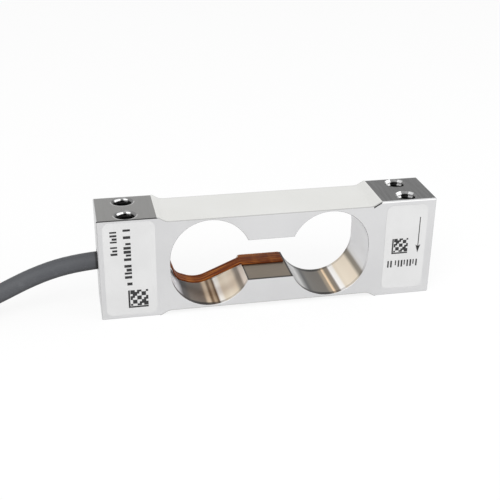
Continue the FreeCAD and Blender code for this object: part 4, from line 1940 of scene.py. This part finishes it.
@dataclass(frozen=True)
class PrintLine:
    """One line of blank letters: small plain blocks that spell nothing."""

    start: Point2
    axis: Axis
    letter: float
    tall: float
    gap: float
    words: tuple[int, ...]
    low_shares: Point3 = (0.0, 0.0, 0.28)
    width_shares: Point3 = (1.0, 0.72, 0.9)

    def draw(self, label: Label) -> None:
        """Add the line's blocks to a label, each slimmer or lower than the one before in turn.

        Args:
            label: the label that gets them.
        """
        at, count = 0.0, 0
        for word in self.words:
            for _ in range(word):
                low = self.tall * self.low_shares[count % 3]
                width = self.letter * self.width_shares[(count + word) % 3]
                self._block(label, at, at + width, low)
                at += self.letter + self.gap
                count += 1
            at += self.letter

    def _block(self, label: Label, near: float, far: float, low: float) -> None:
        """Add one block between two places along the line.

        Args:
            label: the label that gets it.
            near: the first place.
            far: the second place.
            low: how far its foot stands above the line's.
        """
        x, z = self.start
        if self.axis is Axis.ACROSS:
            label.bar(x + near, z + low, x + far, z + self.tall)
        else:
            label.bar(x + low, z - far, x + self.tall, z - near)


@dataclass(frozen=True)
class BlockPattern:
    """A framed field of squares in an even rhythm, which holds no code."""

    corner: Point2
    size: float
    cells: int = 9
    frame_share: float = 0.8

    def draw(self, label: Label) -> None:
        """Add the frame's two bars and the squares to a label.

        Args:
            label: the label that gets them.
        """
        x, z = self.corner
        cell = self.size / self.cells
        bar = cell * self.frame_share
        label.bar(x, z, x + bar, z + self.size)
        label.bar(x + bar, z, x + self.size, z + bar)
        for row in range(1, self.cells):
            for column in range(1, self.cells):
                if (row + 2 * column) % 3 == 0 or (row // 2 + column // 2) % 2 == 0:
                    left, foot = x + column * cell, z + row * cell
                    label.bar(left, foot, left + cell, foot + cell)


@dataclass(frozen=True)
class LoadArrow:
    """The plain arrow that points down, for the direction of the load."""

    tip: Point2 = (36.3, 11.0)
    tail: float = 20.4
    neck: float = 1.4
    barb: float = 2.2
    notch: float = 1.7
    half_shaft: float = 0.11
    half_head: float = 0.62

    def draw(self, label: Label) -> None:
        """Add the shaft and the head to a label.

        Args:
            label: the label that gets them.
        """
        x, z = self.tip
        label.bar(x - self.half_shaft, z + self.neck, x + self.half_shaft, self.tail)
        right, left = (x + self.half_head, z + self.barb), (x - self.half_head, z + self.barb)
        label.shapes.append([(x, z), right, (x, z + self.notch), left])


def left_print() -> Label:
    """Two downward lines of blank letters and a plain block pattern on the left label.

    Returns:
        The label's print.
    """
    label = Label("left_label_print")
    PrintLine(
        (-34.25, 22.75), Axis.DOWN, letter=0.74, tall=1.65, gap=0.21, words=(1, 1, 5, 4, 1)
    ).draw(label)
    PrintLine(
        (-37.2, 22.35), Axis.DOWN, letter=0.56, tall=1.55, gap=0.24, words=(4, 3)
    ).draw(label)
    BlockPattern((-33.7, 2.7), size=4.6).draw(label)
    return label


def right_print() -> Label:
    """A plain block pattern, a line of blank letters and the arrow on the right label.

    Returns:
        The label's print.
    """
    label = Label("right_label_print")
    BlockPattern((29.7, 11.1), size=4.0).draw(label)
    PrintLine(
        (28.9, 7.5), Axis.ACROSS, letter=0.42, tall=1.8, gap=0.33, words=(2, 8)
    ).draw(label)
    LoadArrow().draw(label)
    return label


@dataclass(frozen=True)
class Lamp:
    """One square lamp that looks at the object, with its place in millimetres."""

    name: str
    place: Point3
    size: float
    power: float

    def light(self) -> None:
        """Add the lamp to the scene."""
        data = bpy.data.lights.new(self.name, "AREA")
        data.size = self.size
        data.energy = self.power
        made = bpy.data.objects.new(self.name, data)
        made.location = Vector(self.place) * MM
        made.rotation_mode = "QUATERNION"
        made.rotation_quaternion = made.location.to_track_quat("Z", "Y")
        bpy.context.scene.collection.objects.link(made)


@dataclass(frozen=True)
class Stage:
    """Floor, light and the photograph's camera, whose eye is given in millimetres."""

    eye: Point3 = (-45.22, -196.36, 108.65)
    right: Point3 = (0.9793989, -0.20161005, 0.01145318)
    down: Point3 = (-0.07752043, -0.42774555, -0.90056889)
    ahead: Point3 = (0.18646278, 0.88112833, -0.43456242)
    sensor_width: float = 36.0
    focal_share: float = 925.8 / 500.0
    near: float = 0.005
    far: float = 20.0
    floor_size: float = 8.0
    paper: Colour = (0.92, 0.92, 0.92)
    white: Colour = (1.0, 1.0, 1.0)
    floor_camera_share: float = 0.84
    floor_glossy_share: float = 0.55
    world_level: float = 0.72
    world_camera_rise: float = 0.28
    world_glossy_rise: float = 0.22
    lamps: tuple[Lamp, ...] = (
        Lamp("key", (-260.0, -420.0, 520.0), size=0.45, power=2.2),
        Lamp("fill", (420.0, -260.0, 300.0), size=0.40, power=0.9),
    )

    def camera(self) -> bpy.types.Object:
        """Place the camera at the photograph's angle.

        Returns:
            The camera's object.
        """
        data = bpy.data.cameras.new("camera")
        data.sensor_width = self.sensor_width
        data.lens = self.sensor_width * self.focal_share
        data.clip_start = self.near
        data.clip_end = self.far
        made = bpy.data.objects.new("camera", data)
        rows = (Vector(self.right), -Vector(self.down), -Vector(self.ahead))
        turn = Matrix(rows).transposed().to_4x4()
        made.matrix_world = Matrix.Translation(Vector(self.eye) * MM) @ turn
        bpy.context.scene.collection.objects.link(made)
        bpy.context.scene.camera = made
        return made

    def floor(self) -> None:
        """Add the plain white floor that keeps a soft shadow."""
        bpy.ops.mesh.primitive_plane_add(size=self.floor_size, location=(0, 0, 0))
        floor = bpy.context.object
        floor.name = "floor"
        floor.data.materials.append(new_material("white_floor", self._floor_nodes))

    def _floor_nodes(self, graph: Graph) -> None:
        """White paper, mixed with plain white where the camera or a reflection looks at it.

        Args:
            graph: the floor's graph.
        """
        paper = graph.node("ShaderNodeBsdfDiffuse", {}, Color=self.paper)
        white = graph.node("ShaderNodeEmission", {}, Color=self.white, Strength=1.0)
        camera = graph.node("ShaderNodeLightPath", {}, output="Is Camera Ray")
        glossy = graph.node("ShaderNodeLightPath", {}, output="Is Glossy Ray")
        seen = camera * self.floor_camera_share + glossy * self.floor_glossy_share
        mixed = graph.node("ShaderNodeMixShader", {}, seen, paper, white)
        graph.node("ShaderNodeOutputMaterial", {}, mixed)

    def world(self) -> None:
        """Make white surroundings, at a plain level for the object."""
        world = bpy.data.worlds.new("studio")
        bpy.context.scene.world = world
        world.use_nodes = True
        graph = Graph(world.node_tree)
        camera = graph.node("ShaderNodeLightPath", {}, output="Is Camera Ray")
        glossy = graph.node("ShaderNodeLightPath", {}, output="Is Glossy Ray")
        rise = camera * self.world_camera_rise + glossy * self.world_glossy_rise
        strength = self.world_level + rise
        light = graph.node("ShaderNodeBackground", {}, Color=self.white, Strength=strength)
        graph.node("ShaderNodeOutputWorld", {}, light)

    def make(self) -> None:
        """Add the camera, the floor, the surroundings and the lamps."""
        self.camera()
        self.floor()
        self.world()
        for lamp in self.lamps:
            lamp.light()


def dress_nodes(nodes: dict[str, bpy.types.Object], finishes: Finishes) -> None:
    """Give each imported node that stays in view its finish.

    Args:
        nodes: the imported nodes.
        finishes: the materials.
    """
    for level in ("top", "bottom"):
        dress(nodes[f"{level}_cover"], finishes.cover)
        dress(nodes[f"{level}_wiring_film"], finishes.polyimide)
        dress(nodes[f"{level}_compensation_resistor"], finishes.nickel)
        for number in (1, 2, 3):
            dress(nodes[f"{level}_lead_wire_{number}"], finishes.copper)
        for side in ("left", "right"):
            dress(nodes[f"gauge_carrier_{level}_{side}"], finishes.polyimide)
            dress(nodes[f"gauge_grid_{level}_{side}"], finishes.constantan)
    for side in ("left", "right"):
        dress(nodes[f"{side}_label"], finishes.label)
    for colour, material in finishes.cores.items():
        dress(nodes[f"outer_core_{colour}"], material)
        dress(nodes[f"solder_joint_{colour}"], finishes.solder)
        dress(nodes[f"tinned_tip_{colour}"], finishes.solder)
    dress(nodes["cable_seal"], finishes.potting)
    dress(nodes["end_sleeve"], finishes.sleeve)
    dress(nodes["hank_tie"], finishes.sleeve)


def main() -> None:
    """Build the scene."""
    logging.basicConfig(level=logging.INFO, format="%(name)s: %(message)s")
    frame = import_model()
    nodes = frame["nodes"]
    Stage().make()
    finishes = Finishes()
    cable = Cable().make(finishes, nodes)
    log.info("made %s", cable.name)
    for part in (Beam(), FlexCircuit(), left_print(), right_print()):
        made = part.make(finishes)
        log.info("made %s", made.name)
    for colour, (side, rise) in zip(CORE_COLOURS, CORE_PLACES):
        made = InnerCore(colour, side, rise).make(finishes.cores[colour])
        log.info("made %s", made.name)
    dress_nodes(nodes, finishes)
    bpy.context.scene.view_settings.view_transform = "Standard"
    bpy.context.view_layer.update()


if __name__ == "__main__":
    main()
